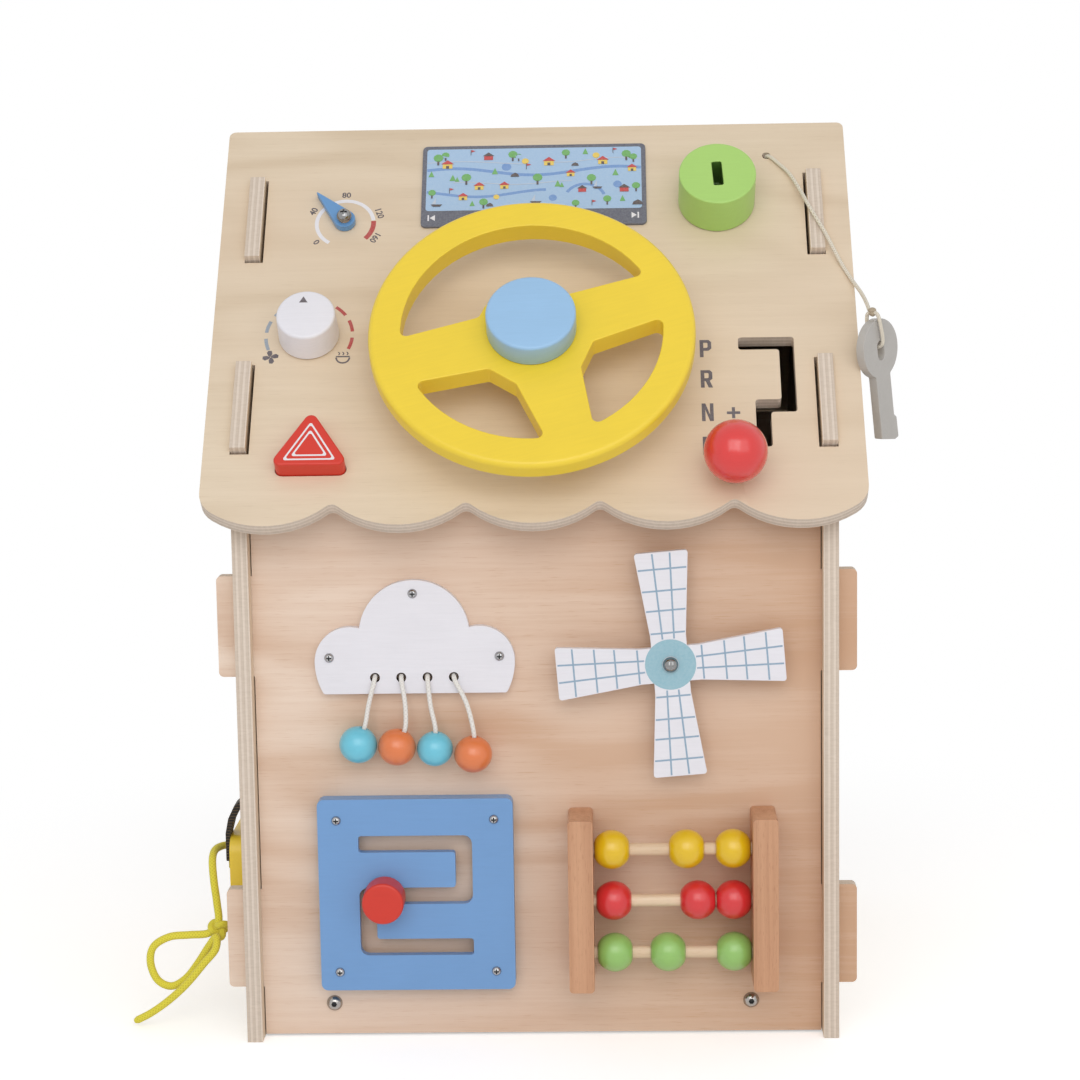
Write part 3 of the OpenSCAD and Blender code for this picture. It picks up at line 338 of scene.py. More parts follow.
def blend_colours(tree, amount, a, b):
    made = wire(tree, "ShaderNodeMix", {"Factor": amount}, data_type="RGBA")
    for socket, value in (("A", a), ("B", b)):
        target = [s for s in made.inputs if s.name == socket and s.type == "RGBA"][0]
        if isinstance(value, bpy.types.NodeSocket):
            tree.links.new(value, target)
        else:
            target.default_value = (*value, 1)
    return [s for s in made.outputs if s.type == "RGBA"][0]


def noise(tree, vector, scale, detail=3.0, roughness=0.5, distortion=0.0):
    made = wire(tree, "ShaderNodeTexNoise", {
        "Vector": vector, "Scale": scale, "Detail": detail, "Roughness": roughness,
        "Distortion": distortion})
    return made.outputs["Fac"]


def stretch(tree, vector, x, y, z, place=(0, 0, 0)):
    made = wire(tree, "ShaderNodeMapping", {"Vector": vector, "Scale": (x, y, z),
                                            "Location": place})
    return made.outputs[0]


def grained(tree, vector, along, across, detail, roughness=0.5, place=(0, 0, 0)):
    """Noise drawn out along x, as wood's grain is; the scales are per metre."""
    return noise(tree, stretch(tree, vector, along, across, across, place), 1.0, detail, roughness)


def group(name, inputs, outputs):
    """An empty node group with its sockets, given as (name, kind, default)."""
    tree = bpy.data.node_groups.new(name, "ShaderNodeTree")
    for label, kind, value in inputs:
        socket = tree.interface.new_socket(label, in_out="INPUT", socket_type="NodeSocket" + kind)
        if value is not None:
            socket.default_value = value
    for label, kind in outputs:
        tree.interface.new_socket(label, in_out="OUTPUT", socket_type="NodeSocket" + kind)
    return tree, tree.nodes.new("NodeGroupInput").outputs, tree.nodes.new("NodeGroupOutput").inputs


def srgb(r, g, b):
    """A colour as it looks on a screen, 0 to 255, as the shader wants it."""
    return tuple(((c / 255 + 0.055) / 1.055) ** 2.4 if c > 10 else c / 255 / 12.92
                 for c in (r, g, b))


def in_frame(tree, face, turn=0.0):
    """Object coordinates seen from a face of the object: x along the grain, z out of the board."""
    back = (face @ Matrix.Rotation(radians(turn), 4, "Z")).inverted()
    return wire(tree, "ShaderNodeMapping", {"Vector": own_place(tree), "Location": back.translation,
                                            "Rotation": back.to_euler("XYZ")}).outputs[0]


# ---- shared effects -------------------------------------------------------------------------


def veneer_group():
    """Rotary-cut birch: long soft figure, fine streaks and short pores along x."""
    tree, take, give = group(
        "Veneer",
        [("Vector", "Vector", None), ("Light", "Color", (1, 1, 1, 1)),
         ("Dark", "Color", (0, 0, 0, 1)), ("Blush", "Color", (0.5, 0.5, 0.5, 1)),
         ("Figure", "Float", 0.5), ("Drift", "Float", 0.0)],
        [("Color", "Color"), ("Height", "Float"), ("Roughness", "Float")])
    vector = take["Vector"]
    wander = grained(tree, vector, 2.1, 9.5, 2.0, 0.45)
    contour = maths(tree, "SINE", maths(tree, "MULTIPLY", wander, 58.0))
    contour = maths(tree, "MULTIPLY_ADD", contour, 0.5, 0.5)
    contour = maths(tree, "POWER", contour, 1.6)
    presence = ramp(tree, grained(tree, vector, 3.2, 8.0, 2.0, place=(4.1, 2.2, 0)),
                    [(0.38, 0.12), (0.62, 1.0)])
    streaks = grained(tree, vector, 14.0, 420.0, 4.0, 0.6)
    bands = grained(tree, vector, 4.0, 70.0, 3.0, 0.55, (1.3, 0, 0))
    pores = ramp(tree, grained(tree, vector, 80.0, 1500.0, 2.0), [(0.6, 0.0), (0.72, 1.0)])
    patches = ramp(tree, grained(tree, vector, 3.5, 7.5, 2.0, place=(7.7, 3.1, 0)),
                   [(0.42, 0.0), (0.68, 1.0)])
    figure = maths(tree, "MULTIPLY", maths(tree, "MULTIPLY", contour, presence), take["Figure"])
    depth = maths(tree, "ADD", maths(tree, "MULTIPLY", streaks, 0.34),
                  maths(tree, "MULTIPLY", bands, 0.42))
    depth = maths(tree, "ADD", maths(tree, "ADD", depth, figure),
                  maths(tree, "MULTIPLY", pores, 0.17))
    depth = fitted(tree, depth, 0.22, 0.95)
    # Darker towards the right: painted shade of the light from the left, with a redder veneer tone
    across = fitted(tree, as_parts(tree, vector)["X"], -0.15, 0.17)
    depth = maths(tree, "MULTIPLY_ADD", across, take["Drift"], depth)
    colour = blend_colours(tree, depth, take["Light"], take["Dark"])
    colour = blend_colours(tree, maths(tree, "MULTIPLY", patches, 0.55), colour, take["Blush"])
    tree.links.new(colour, give["Color"])
    height = maths(tree, "SUBTRACT", maths(tree, "MULTIPLY", streaks, 0.7),
                   maths(tree, "MULTIPLY", pores, 0.5))
    tree.links.new(height, give["Height"])
    tree.links.new(maths(tree, "MULTIPLY_ADD", depth, 0.12, 0.46), give["Roughness"])
    return tree


def layers_group():
    """The sawn edge of plywood: thin dark glue lines between light and end-grain layers."""
    tree, take, give = group(
        "Plywood Layers",
        [("Vector", "Vector", None), ("Light", "Color", (1, 1, 1, 1)),
         ("Dark", "Color", (0, 0, 0, 1)), ("Thickness", "Float", 0.0014)],
        [("Color", "Color"), ("Height", "Float")])
    vector = take["Vector"]
    waver = noise(tree, vector, 60.0, 2.0)
    depth = maths(tree, "ADD", as_parts(tree, vector)["Z"], maths(tree, "MULTIPLY", waver, 0.0003))
    count = maths(tree, "DIVIDE", depth, take["Thickness"])
    phase = maths(tree, "FRACT", maths(tree, "MULTIPLY", count, 0.5))
    layer = ramp(tree, phase, [(0.0, 0.8), (0.04, 0.12), (0.45, 0.04), (0.48, 0.75), (0.54, 0.5),
                               (0.95, 0.42)])
    fibres = noise(tree, stretch(tree, vector, 900.0, 900.0, 240.0), 1.0, 2.0, 0.6)
    value = maths(tree, "ADD", as_value(tree, layer),
                  maths(tree, "MULTIPLY_ADD", fibres, 0.5, -0.25))
    value = wire(tree, "ShaderNodeClamp", {"Value": value}).outputs[0]
    tree.links.new(blend_colours(tree, value, take["Light"], take["Dark"]), give["Color"])
    tree.links.new(maths(tree, "SUBTRACT", 1.0, value), give["Height"])
    return tree


def paint_group():
    """Sprayed paint on fine wood: a faint grain that shows through, soft mottling, worn edges."""
    tree, take, give = group(
        "Paint",
        [("Vector", "Vector", None), ("Color", "Color", (1, 1, 1, 1)),
         ("Worn", "Color", (1, 1, 1, 1)), ("Grain", "Float", 0.5), ("Wear", "Float", 0.0)],
        [("Color", "Color"), ("Height", "Float"), ("Roughness", "Float")])
    vector = take["Vector"]
    grain = grained(tree, vector, 60.0, 900.0, 3.0, 0.6)
    mottle = noise(tree, vector, 38.0)
    specks = noise(tree, vector, 1500.0, 2.0, 0.6)
    shade = maths(tree, "ADD", maths(tree, "MULTIPLY", grain, 0.5),
                  maths(tree, "MULTIPLY", mottle, 0.5))
    light = fitted(tree, shade, 0.3, 0.7, 0.965, 1.035)
    tone = wire(tree, "ShaderNodeHueSaturation", {"Color": take["Color"],
                                                  "Value": light}).outputs[0]
    edge = wire(tree, "ShaderNodeNewGeometry").outputs["Pointiness"]
    edge = as_value(tree, ramp(tree, edge, [(0.52, 0.0), (0.60, 1.0)]))
    edge = maths(tree, "MULTIPLY", edge, fitted(tree, noise(tree, vector, 160.0), 0.4, 0.75))
    worn = maths(tree, "MULTIPLY", edge, take["Wear"])
    tree.links.new(blend_colours(tree, worn, tone, take["Worn"]), give["Color"])
    bumps = maths(tree, "ADD", maths(tree, "MULTIPLY", grain, take["Grain"]),
                  maths(tree, "MULTIPLY", specks, 0.18))
    tree.links.new(bumps, give["Height"])
    tree.links.new(maths(tree, "MULTIPLY_ADD", mottle, 0.12, -0.06), give["Roughness"])
    return tree


def weave_group():
    """Twisted strands on a cord, by its UV map: x along the cord, y around it."""
    tree, take, give = group(
        "Cord Weave",
        [("Vector", "Vector", None), ("Along", "Float", 100.0), ("Around", "Float", 3.0)],
        [("Strand", "Float"), ("Fuzz", "Float")])
    parts = as_parts(tree, take["Vector"])
    along = maths(tree, "MULTIPLY", parts["X"], take["Along"])
    around = maths(tree, "MULTIPLY", parts["Y"], take["Around"])
    strands = [maths(tree, "ABSOLUTE", maths(tree, "SINE", maths(
        tree, "MULTIPLY", maths(tree, way, along, around), pi))) for way in ("ADD", "SUBTRACT")]
    tree.links.new(maths(tree, "MAXIMUM", *strands), give["Strand"])
    fuzz = noise(tree, stretch(tree, take["Vector"], 900.0, 14.0, 1.0), 1.0, 3.0, 0.7)
    tree.links.new(fuzz, give["Fuzz"])
    return tree


# What shows where paint is rubbed off
BARE_WOOD = (0.8, 0.7, 0.55)
PALE_WOOD = (0.75, 0.7, 0.62)
DARK_METAL = (0.3, 0.27, 0.24)

VENEER = veneer_group()
LAYERS = layers_group()
PAINT = paint_group()
WEAVE = weave_group()


def use(tree, effect, **inputs):
    made = tree.nodes.new("ShaderNodeGroup")
    made.node_tree = effect
    for key, value in inputs.items():
        if isinstance(value, bpy.types.NodeSocket):
            tree.links.new(value, made.inputs[key])
        elif hasattr(value, "__len__"):
            made.inputs[key].default_value = (*value, 1)
        else:
            made.inputs[key].default_value = value
    return made.outputs


def new_material(name, **settings):
    """A material with its Principled shader; the settings are that shader's own sockets."""
    material = bpy.data.materials.new(name)
    material.use_nodes = True
    tree = material.node_tree
    shader = tree.nodes["Principled BSDF"]
    for key, value in settings.items():
        shader.inputs[key.replace("_", " ")].default_value = value
    return material, tree, shader


def bump(tree, shader, height, strength, distance):
    made = wire(tree, "ShaderNodeBump", {"Height": height, "Strength": strength,
                                         "Distance": distance})
    tree.links.new(made.outputs["Normal"], shader.inputs["Normal"])


def ply_face(name, face, light, dark, blush, turn=0.0, figure=0.45, painted_side_shade=0.0, slip=0.0):
    """A plywood face; drift darkens it from left to right as painted shade, with a redder veneer
    tone, and slip moves its figure sideways.
    """
    material, tree, shader = new_material(name, Coat_Weight=0.12, Coat_Roughness=0.35)
    vector = stretch(tree, in_frame(tree, face, turn), 1, 1, 1, (0, slip, 0))
    out = use(tree, VENEER, Vector=vector, Light=light, Dark=dark, Blush=blush, Figure=figure,
              Drift=painted_side_shade)
    tree.links.new(out["Color"], shader.inputs["Base Color"])
    tree.links.new(out["Roughness"], shader.inputs["Roughness"])
    bump(tree, shader, out["Height"], 0.12, 0.0002)
    return material


def ply_edge(name, face, light, dark):
    material, tree, shader = new_material(name, Roughness=0.72)
    out = use(tree, LAYERS, Vector=in_frame(tree, face), Light=light, Dark=dark)
    tree.links.new(out["Color"], shader.inputs["Base Color"])
    bump(tree, shader, out["Height"], 0.3, 0.0002)
    return material


def painted(name, colour, worn=BARE_WOOD, face=None, roughness=0.42, coat=0.16, grain=0.5,
            turn=0.0, wear=0.0):
    """Paint in a colour of its own, or in one of the board's colours by its name."""
    if isinstance(colour, str):
        colour = getattr(bpy.context.scene.board_colours, colour)
    material, tree, shader = new_material(name, Coat_Weight=coat, Coat_Roughness=0.22)
    vector = in_frame(tree, face, turn) if face else own_place(tree)
    out = use(tree, PAINT, Vector=vector, Color=colour, Worn=worn, Grain=grain, Wear=wear)
    tree.links.new(out["Color"], shader.inputs["Base Color"])
    tree.links.new(maths(tree, "ADD", out["Roughness"], roughness), shader.inputs["Roughness"])
    bump(tree, shader, out["Height"], 0.10, 0.0003)
    return material


def solid_wood(name, light, dark, face, turn=0.0):
    """Sawn solid wood with straight grain and short dark flecks along x."""
    material, tree, shader = new_material(name, Coat_Weight=0.1, Coat_Roughness=0.4)
    vector = in_frame(tree, face, turn)
    lines = noise(tree, stretch(tree, vector, 8.0, 420.0, 420.0), 1.0, 4.0, 0.6, 0.3)
    flecks = ramp(tree, grained(tree, vector, 180.0, 2200.0, 2.0), [(0.58, 0.0), (0.7, 1.0)])
    wide = grained(tree, vector, 6.0, 90.0, 2.0)
    value = maths(tree, "ADD", maths(tree, "MULTIPLY", lines, 0.6),
                  maths(tree, "MULTIPLY", wide, 0.5))
    value = maths(tree, "ADD", value, maths(tree, "MULTIPLY", flecks, 0.22))
    value = fitted(tree, value, 0.38, 0.95)
    tree.links.new(blend_colours(tree, value, light, dark), shader.inputs["Base Color"])
    tree.links.new(maths(tree, "MULTIPLY_ADD", value, 0.15, 0.45), shader.inputs["Roughness"])
    bump(tree, shader, maths(tree, "SUBTRACT", 1.0, value), 0.15, 0.0002)
    return material


def metal(name, colour, roughness, scratch=0.08):
    """Metal with fine rub marks and dull patches."""
    material, tree, shader = new_material(name, Metallic=1.0)
    vector = own_place(tree)
    rub = noise(tree, stretch(tree, vector, 900.0, 900.0, 5000.0), 1.0, 3.0, 0.6)
    cloud = maths(tree, "MULTIPLY", noise(tree, vector, 420.0), 0.5)
    tree.links.new(maths(tree, "MULTIPLY_ADD", rub, scratch, roughness), shader.inputs["Roughness"])
    dull = tuple(c * 0.72 for c in colour)
    tree.links.new(blend_colours(tree, cloud, colour, dull), shader.inputs["Base Color"])
    bump(tree, shader, rub, 0.05, 0.0001)
    return material


def moulded(name, colour, roughness=0.5):
    """Moulded plastic with a fine stipple."""
    material, tree, shader = new_material(name)
    vector = own_place(tree)
    stipple = noise(tree, vector, 2200.0, 2.0)
    cloud = maths(tree, "MULTIPLY", noise(tree, vector, 60.0, 2.0), 0.3)
    darker = tuple(c * 0.8 for c in colour)
    tree.links.new(blend_colours(tree, cloud, colour, darker), shader.inputs["Base Color"])
    tree.links.new(maths(tree, "MULTIPLY_ADD", stipple, 0.14, roughness - 0.07),
                   shader.inputs["Roughness"])
    bump(tree, shader, stipple, 0.2, 0.0001)
    return material


def ink(name, colour):
    """Screen-printed ink: nearly even, a little thin in places."""
    material, tree, shader = new_material(name, Coat_Weight=0.1, Coat_Roughness=0.3)
    vector = own_place(tree)
    thin = ramp(tree, noise(tree, vector, 900.0, 3.0, 0.65), [(0.25, 0.0), (0.8, 1.0)])
    pale = tuple(min(1, c + (1 - c) * 0.12) for c in colour)
    tree.links.new(blend_colours(tree, thin, colour, pale), shader.inputs["Base Color"])
    tree.links.new(maths(tree, "MULTIPLY_ADD", noise(tree, vector, 1200.0, 2.0), 0.15, 0.43),
                   shader.inputs["Roughness"])
    return material


def corded(name, light, dark, along, around=3.0):
    """Twisted or woven cord, with so many strands along and around its UV map."""
    material, tree, shader = new_material(name, Roughness=0.85, Sheen_Weight=0.25)
    out = use(tree, WEAVE, Vector=own_place(tree, "UV"), Along=along, Around=around)
    fuzz = maths(tree, "MULTIPLY_ADD", out["Fuzz"], 0.6, 0.6)
    value = maths(tree, "MULTIPLY", out["Strand"], fuzz)
    value = wire(tree, "ShaderNodeClamp", {"Value": value}).outputs[0]
    # The dark colour is painted shade in the grooves between the strands; the light colour lies on
    # their crests
    tree.links.new(blend_colours(tree, value, dark, light), shader.inputs["Base Color"])
    bump(tree, shader, out["Strand"], 0.6, 0.0002)
    return material


def webbing(name, rib, thread):
    """Woven elastic: close dark ribs with a brown thread between them."""
    material, tree, shader = new_material(name, Roughness=0.85, Sheen_Weight=0.2)
    parts = as_parts(tree, own_place(tree))
    slant = maths(tree, "ADD", parts["Y"], parts["Z"])
    ribs = maths(tree, "ABSOLUTE", maths(tree, "SINE", maths(tree, "MULTIPLY", slant, 2000.0)))
    between = ramp(tree, ribs, [(0.1, 1.0), (0.45, 0.0)])
    tree.links.new(blend_colours(tree, between, rib, thread), shader.inputs["Base Color"])
    bump(tree, shader, ribs, 0.8, 0.0004)
    return material


# ---- finishes -------------------------------------------------------------------------------

# Light, dark and blush of the boards' faces, then light and dark of their sawn edges
BIRCH = srgb(231, 213, 188), srgb(205, 183, 154), srgb(223, 200, 174)
FRONT_BIRCH = srgb(243, 224, 207), srgb(204, 164, 133), srgb(228, 198, 174)
SAWN = srgb(227, 212, 197), srgb(184, 166, 147)

BOARDS = {
    "roof": (ROOF, BIRCH, {"figure": 0.34}),
    "back roof": (TURNED @ ROOF, BIRCH, {"figure": 0.34}),
    # The front darkens towards its right: painted shade of the light from the left, with a redder
    # veneer tone
    "front": (FRONT, FRONT_BIRCH, {"figure": 0.3, "painted_side_shade": 0.78, "slip": 0.53}),
    "back": (TURNED @ FRONT, FRONT_BIRCH, {"figure": 0.34}),
    "left": (LEFT, BIRCH, {"turn": 90}),
    "right": (RIGHT, BIRCH, {"turn": 90}),
    "floor": (FLOOR_PANEL, BIRCH, {}),
}
PAINTS = {
    "yellow paint": ("yellow", {"face": ROOF, "turn": 17}),
    "sky paint": ("sky", {"face": ROOF}),
    "slot shade": (srgb(84, 122, 50), {}),
    "green paint": ("green", {"face": ROOF}),
    "red paint": ("red", {"face": ROOF}),
    "knob red paint": ("red", {"face": FRONT}),
    "blue paint": ("blue", {"face": FRONT}),
    "pointer blue paint": ("pointer_blue", {"face": ROOF, "turn": 130}),
    "white paint": ("white", {"face": FRONT, "worn": PALE_WOOD}),
    "knob white paint": ("white", {"face": ROOF, "worn": PALE_WOOD}),
    "ball red lacquer": ("ball_red", {"face": ROOF, "roughness": 0.22, "coat": 0.6, "grain": 0.2}),
    "grey paint": ("key_grey", {"worn": DARK_METAL, "wear": 0.3}),
    "mustard paint": ("mustard", {"face": LEFT}),
}
BEAD_LACQUER = {"roughness": 0.3, "coat": 0.45, "grain": 0.25}
PRINTS = {
    "dark": (84, 74, 80), "white": (232, 229, 233), "red": (176, 44, 36),
    "blue grey": (146, 156, 168), "line blue": (136, 163, 186), "hub blue": (142, 184, 198),
    "screen grey": (86, 88, 102), "map water": (163, 193, 224), "map road": (112, 150, 204),
    "map path": (190, 200, 214), "map green": (104, 170, 88), "map red": (192, 52, 50),
    "map yellow": (232, 200, 84), "map brown": (74, 60, 58),
}
RECIPES = {
    "beech posts": (solid_wood, srgb(210, 160, 124), srgb(168, 114, 80), FRONT, 90),
    "beech rods": (solid_wood, srgb(232, 208, 178), srgb(206, 172, 138), FRONT),
    "beech roof": (solid_wood, srgb(225, 196, 164), srgb(196, 156, 122), ROOF),
    "nickel": (metal, (0.42, 0.4, 0.38), 0.16),
    "recess shade": (metal, (0.06, 0.06, 0.06), 0.5),
    # The pivot screws' chrome is darker than chrome: a painted reflection of dark surroundings
    "dark chrome": (metal, (0.3, 0.3, 0.3), 0.05, 0.02),
    "worn nickel": (metal, (0.46, 0.46, 0.47), 0.2),
    "black steel": (metal, (0.12, 0.115, 0.11), 0.4),
    "zinc": (metal, (0.5, 0.52, 0.55), 0.36),
    "grey plastic": (moulded, srgb(86, 86, 90)),
    "bore shade": (moulded, srgb(58, 50, 46), 0.8),
    "black webbing": (webbing, srgb(36, 33, 30), srgb(112, 92, 66)),
    # The cords' dark colour is painted shade between their strands
    "cotton cord": (corded, srgb(236, 228, 212), srgb(176, 160, 136), 110.0),
    "white string": (corded, srgb(238, 235, 230), srgb(214, 209, 201), 30.0),
    "yellow lace": (corded, srgb(238, 226, 72), srgb(196, 180, 40), 150.0, 6.0),
}


def finish(name):
    """The finish of that name, made the first time that a piece asks for it."""
    found = bpy.data.materials.get(name)
    if found:
        return found
    if name in RECIPES:
        maker, *values = RECIPES[name]
        return maker(name, *values)
    if name in PAINTS:
        colour, way = PAINTS[name]
        return painted(name, colour, **way)
    what, kind = name.rsplit(" ", 1)
    if kind == "ply":
        face, birch, way = BOARDS[what]
        return ply_face(name, face, *birch, **way)
    if kind == "edge":
        return ply_edge(name, BOARDS[what][0], *SAWN)
    if kind == "bead":
        return painted(name, what + "_bead", **BEAD_LACQUER)
    return ink(name, srgb(*PRINTS[what]))


def colour_prop(name, r, g, b):
    return FloatVectorProperty(name=name, description=name + " paint", subtype="COLOR", size=3,
                               min=0, max=1, default=srgb(r, g, b))


class BoardColours(bpy.types.PropertyGroup):
    yellow: colour_prop("Wheel yellow", 241, 209, 54)
    sky: colour_prop("Hub cap sky blue", 152, 192, 228)
    green: colour_prop("Lock green", 170, 211, 112)
    red: colour_prop("Button red", 212, 48, 28)
    blue: colour_prop("Maze blue", 114, 158, 209)
    pointer_blue: colour_prop("Pointer blue", 100, 150, 200)
    white: colour_prop("Cloud white", 231, 229, 235)
    ball_red: colour_prop("Gear ball red", 220, 46, 44)
    key_grey: colour_prop("Key grey", 184, 180, 175)
    mustard: colour_prop("Shoe mustard", 240, 208, 62)
    blue_bead: colour_prop("Blue bead", 108, 198, 221)
    orange_bead: colour_prop("Orange bead", 228, 124, 68)
    yellow_bead: colour_prop("Yellow bead", 231, 190, 6)
    red_bead: colour_prop("Red bead", 218, 44, 48)
    green_bead: colour_prop("Green bead", 148, 196, 104)


class BoardSizes(bpy.types.PropertyGroup):
    board_edge: FloatProperty(name="Board edge", default=0.5, min=0.1, max=1.5,
                              description="Rounding of the boards' sanded edges, mm")
    wheel_edge: FloatProperty(name="Wheel edge", description="Rounding of the steering wheel, mm",
                              default=2.2, min=0.5, max=4)
    maze_edge: FloatProperty(name="Maze edge", description="Rounding of the maze board, mm",
                             default=1.2, min=0.2, max=2)
    turning_steps: IntProperty(name="Turning steps", description="Sides of a turned piece",
                               default=64, min=24, max=128)


class BoardStudio(bpy.types.PropertyGroup):
    focal: FloatProperty(name="Focal length", description="Lens of the camera, mm", default=88.4,
                         min=20, max=200)
    key_power: FloatProperty(name="Key light", description="Power of the light at the left, W",
                             default=13.5, min=0, max=200)
    fill_power: FloatProperty(name="Fill light", description="Power of the light at the right, W",
                              default=6.5, min=0, max=200)
    floor_lift: FloatProperty(name="Floor lift", description="Glow that keeps the lit floor white",
                              default=0.4, min=0, max=1)
    sky: FloatProperty(name="Room light", description="Strength of the room's own light",
                       default=0.55, min=0, max=2)


# ---- cords ----------------------------------------------------------------------------------


def smooth_path(points, steps=6):
    """A smooth line through all the points (Catmull-Rom), as vectors."""
    pts = [Vector(p) for p in points]
    pts = [2 * pts[0] - pts[1]] + pts + [2 * pts[-1] - pts[-2]]
    line = []
    for a, b, c, d in zip(pts, pts[1:], pts[2:], pts[3:]):
        for i in range(steps):
            t = i / steps
            line.append(0.5 * (2 * b + (c - a) * t + (2 * a - 5 * b + 4 * c - d) * t * t
                               + (3 * b - a - 3 * c + d) * t ** 3))
    return line + [pts[-2]]


def line_length(line):
    return sum((b - a).length for a, b in zip(line, line[1:]))


def strand(name, line, radius, end=1.0):
    """A round strand along a line in metres; its radius is in millimetres, and is drawn in to a
    share of it at the end."""
    shape = bpy.data.curves.new(name, "CURVE")
    shape.dimensions = "3D"
    shape.bevel_depth = radius * MM
    shape.bevel_resolution = 4
    shape.use_fill_caps = True
    spline = shape.splines.new("POLY")
    spline.points.add(len(line) - 1)
    for point, place in zip(spline.points, line):
        point.co = (*place, 1)
    spline.points[-1].radius = end
    obj = bpy.data.objects.new(name, shape)
    bpy.context.scene.collection.objects.link(obj)
    pick(obj)
    bpy.ops.object.convert(target="MESH")
    smooth(bpy.context.object, 60)
    return bpy.context.object


# Where the key hangs, its cord over the roof's face, on to the key, and its loop in the key's frame
KEY_PLACE = ROOF @ (Vector((177, 88.2, 2.5)) * MM)
KEY_TURN, KEY_LEAN = 50, -9.5
KEY_AT = (Matrix.Translation(KEY_PLACE) @ Matrix.Rotation(radians(KEY_TURN), 4, "Z")
          @ Matrix.Rotation(radians(KEY_LEAN), 4, "Y"))
CORD_ON_ROOF = [
    (125.5, 220, -6), (125.6, 219.9, -1), (127.4, 218, 1.3), (131.5, 213.5, 1.3), (137.5, 205, 2),
    (143, 190, 4.6), (146, 181, 5.6), (153.6, 163, 5.6), (157.4, 154, 4), (162, 144, 1.5),
    (166.2, 134.5, 1.5)]
CORD_TO_KEY = [(-6.4, 20.4, 27.9), (-4.5, 10.7, 23.1), (-3.6, 4.5, 19.5)]
KEY_LOOP = [
    (-1, -1.2, 19.5), (-1.2, -3.4, 17.5), (-0.8, -4.1, 12), (0, -4.1, 6), (0.2, -3.2, 2.2),
    (0.3, 0, 0.8), (0.2, 3.2, 2.2), (0, 4.1, 6), (-0.8, 4.1, 12), (-1.2, 3.4, 17.5),
    (-1, 1.2, 19.5)]
KNOT_UP = 19.3
KNOT_PROFILE = [(0.6, -2.2), (1.5, -1.6), (2.0, -0.6), (1.6, 0.1), (2.1, 0.9), (1.6, 1.9),
                (0.7, 2.4)]
# The bow of the shoe's lace, from its eyelet to its tip, and the middle of its knot
LACE = [
    (-168.6, -80, 90), (-172.6, -84.5, 90.6), (-175.4, -93, 90.4), (-175.6, -101.5, 87),
    (-174.4, -106.5, 77), (-172.8, -109, 66), (-172, -111.5, 56), (-177, -113, 50.6),
    (-187.4, -113.5, 49.8), (-198, -113.5, 48.8), (-206.6, -113.5, 43.6), (-208.6, -113.5, 34.8),
    (-205.2, -113.5, 25.4), (-197.9, -113.5, 21.8), (-190, -113.5, 26), (-183, -114, 34.8),
    (-177.4, -115.5, 43.4), (-172.4, -118.4, 50), (-172.6, -121, 44), (-179, -121.5, 36.4),
    (-188, -120, 25.6), (-197.5, -118.5, 16.5), (-208, -117, 8.6), (-217.6, -116, 3.4)]
KNOT = Vector((-171.6, -112, 52.5)) * MM
# The cloud's four string holes: across, and their height
RAIN_X = [-62.8 + (i - 1.5) * 13.5 for i in range(4)]
RAIN_Z = 192.0
# Each rain bead's middle: across, out of the panel, height and lean in degrees
RAIN_BEADS = [(-92, 10.2, 158.2, 20), (-72.1, 11.4, 157, 24), (-52.7, 9.8, 155.6, 2),
              (-33.1, 11, 152.8, 3)]
# A point half way down each string
RAIN_MID = [(-86.4, 8.2, 178.5), (-67.6, 8.6, 178.5), (-54.6, 8.2, 177.5), (-36, 8.6, 178.5)]


def in_part(points, place=None):
    """Points in millimetres as metres of the part, or of a place on it."""
    placed = [Vector(p) * MM for p in points]
    return [place @ p for p in placed] if place else placed


def front_points(points):
    """Points given across, out of the front wall and up."""
    return [FRONT @ (Vector((x, z, out)) * MM) for x, out, z in points]


def rain_route(i):
    """A rain string's points, from inside its hole in the cloud into its bead."""
    x, out, z, lean = RAIN_BEADS[i]

    def above(k):
        return (x + k * sin(radians(lean)), out, z + k * cos(radians(lean)))

    hole = RAIN_X[i]
    mid = RAIN_MID[i]
    bend = (hole + 0.15 * (mid[0] - hole), 7.1, RAIN_Z - 2.2)
    return [(hole, 3.4, RAIN_Z + 0.5), (hole, 4.8, RAIN_Z + 0.4), bend, mid, above(11), above(2)]


class CordsOperator(bpy.types.Operator):
    """The cord and loop of the key, the four rain strings and the shoe's lace"""
    bl_idname = "busy_board.cords"
    bl_label = "Cords"

    def execute(self, context):
        line = smooth_path(in_part(CORD_ON_ROOF, ROOF)
                           + in_part(CORD_TO_KEY, Matrix.Translation(KEY_PLACE)))
        key_cord = ready(strand("key_cord_twisted", line, 1.0), "house",
                         finish("cotton cord"), ["key_cord"])
        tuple(line[0])
        round(line_length(line), 4)
        loop = smooth_path(in_part(KEY_LOOP, KEY_AT))
        knot = turned("key_cord_knot", KNOT_PROFILE, 24)
        settle(knot, on(KEY_AT, -1, 0, KNOT_UP))
        ready(knot, "key", finish("cotton cord"))
        key_loop = ready(strand("key_cord_loop", loop, 1.0), "key", finish("cotton cord"),
                         ["key_loop"])
        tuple(loop[0])
        round(line_length(loop), 4)
        for i in range(4):
            rope = smooth_path(front_points(rain_route(i)))
            string = strand(f"rain_string_{i + 1}_twisted", rope, 1.2)
            ready(string, f"rain_{i + 1}", finish("white string"),
                  [f"rain_string_{i + 1}"])
            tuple(rope[0])
            round(line_length(rope), 4)
        line = smooth_path(in_part(LACE))
        lace = ready(strand("lace_bow_woven", line, 2.05, end=0.6), "house",
                     finish("yellow lace"), ["lace_bow"])
        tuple(line[0])
        round(line_length(line), 4)
        return {"FINISHED"}


# ---- boards of the house ----------------------------------------------------------------------


# Faces smaller than this, such as the rounded edges', are shaded smooth, in square metres
SMALL_FACE = 60 * MM * MM


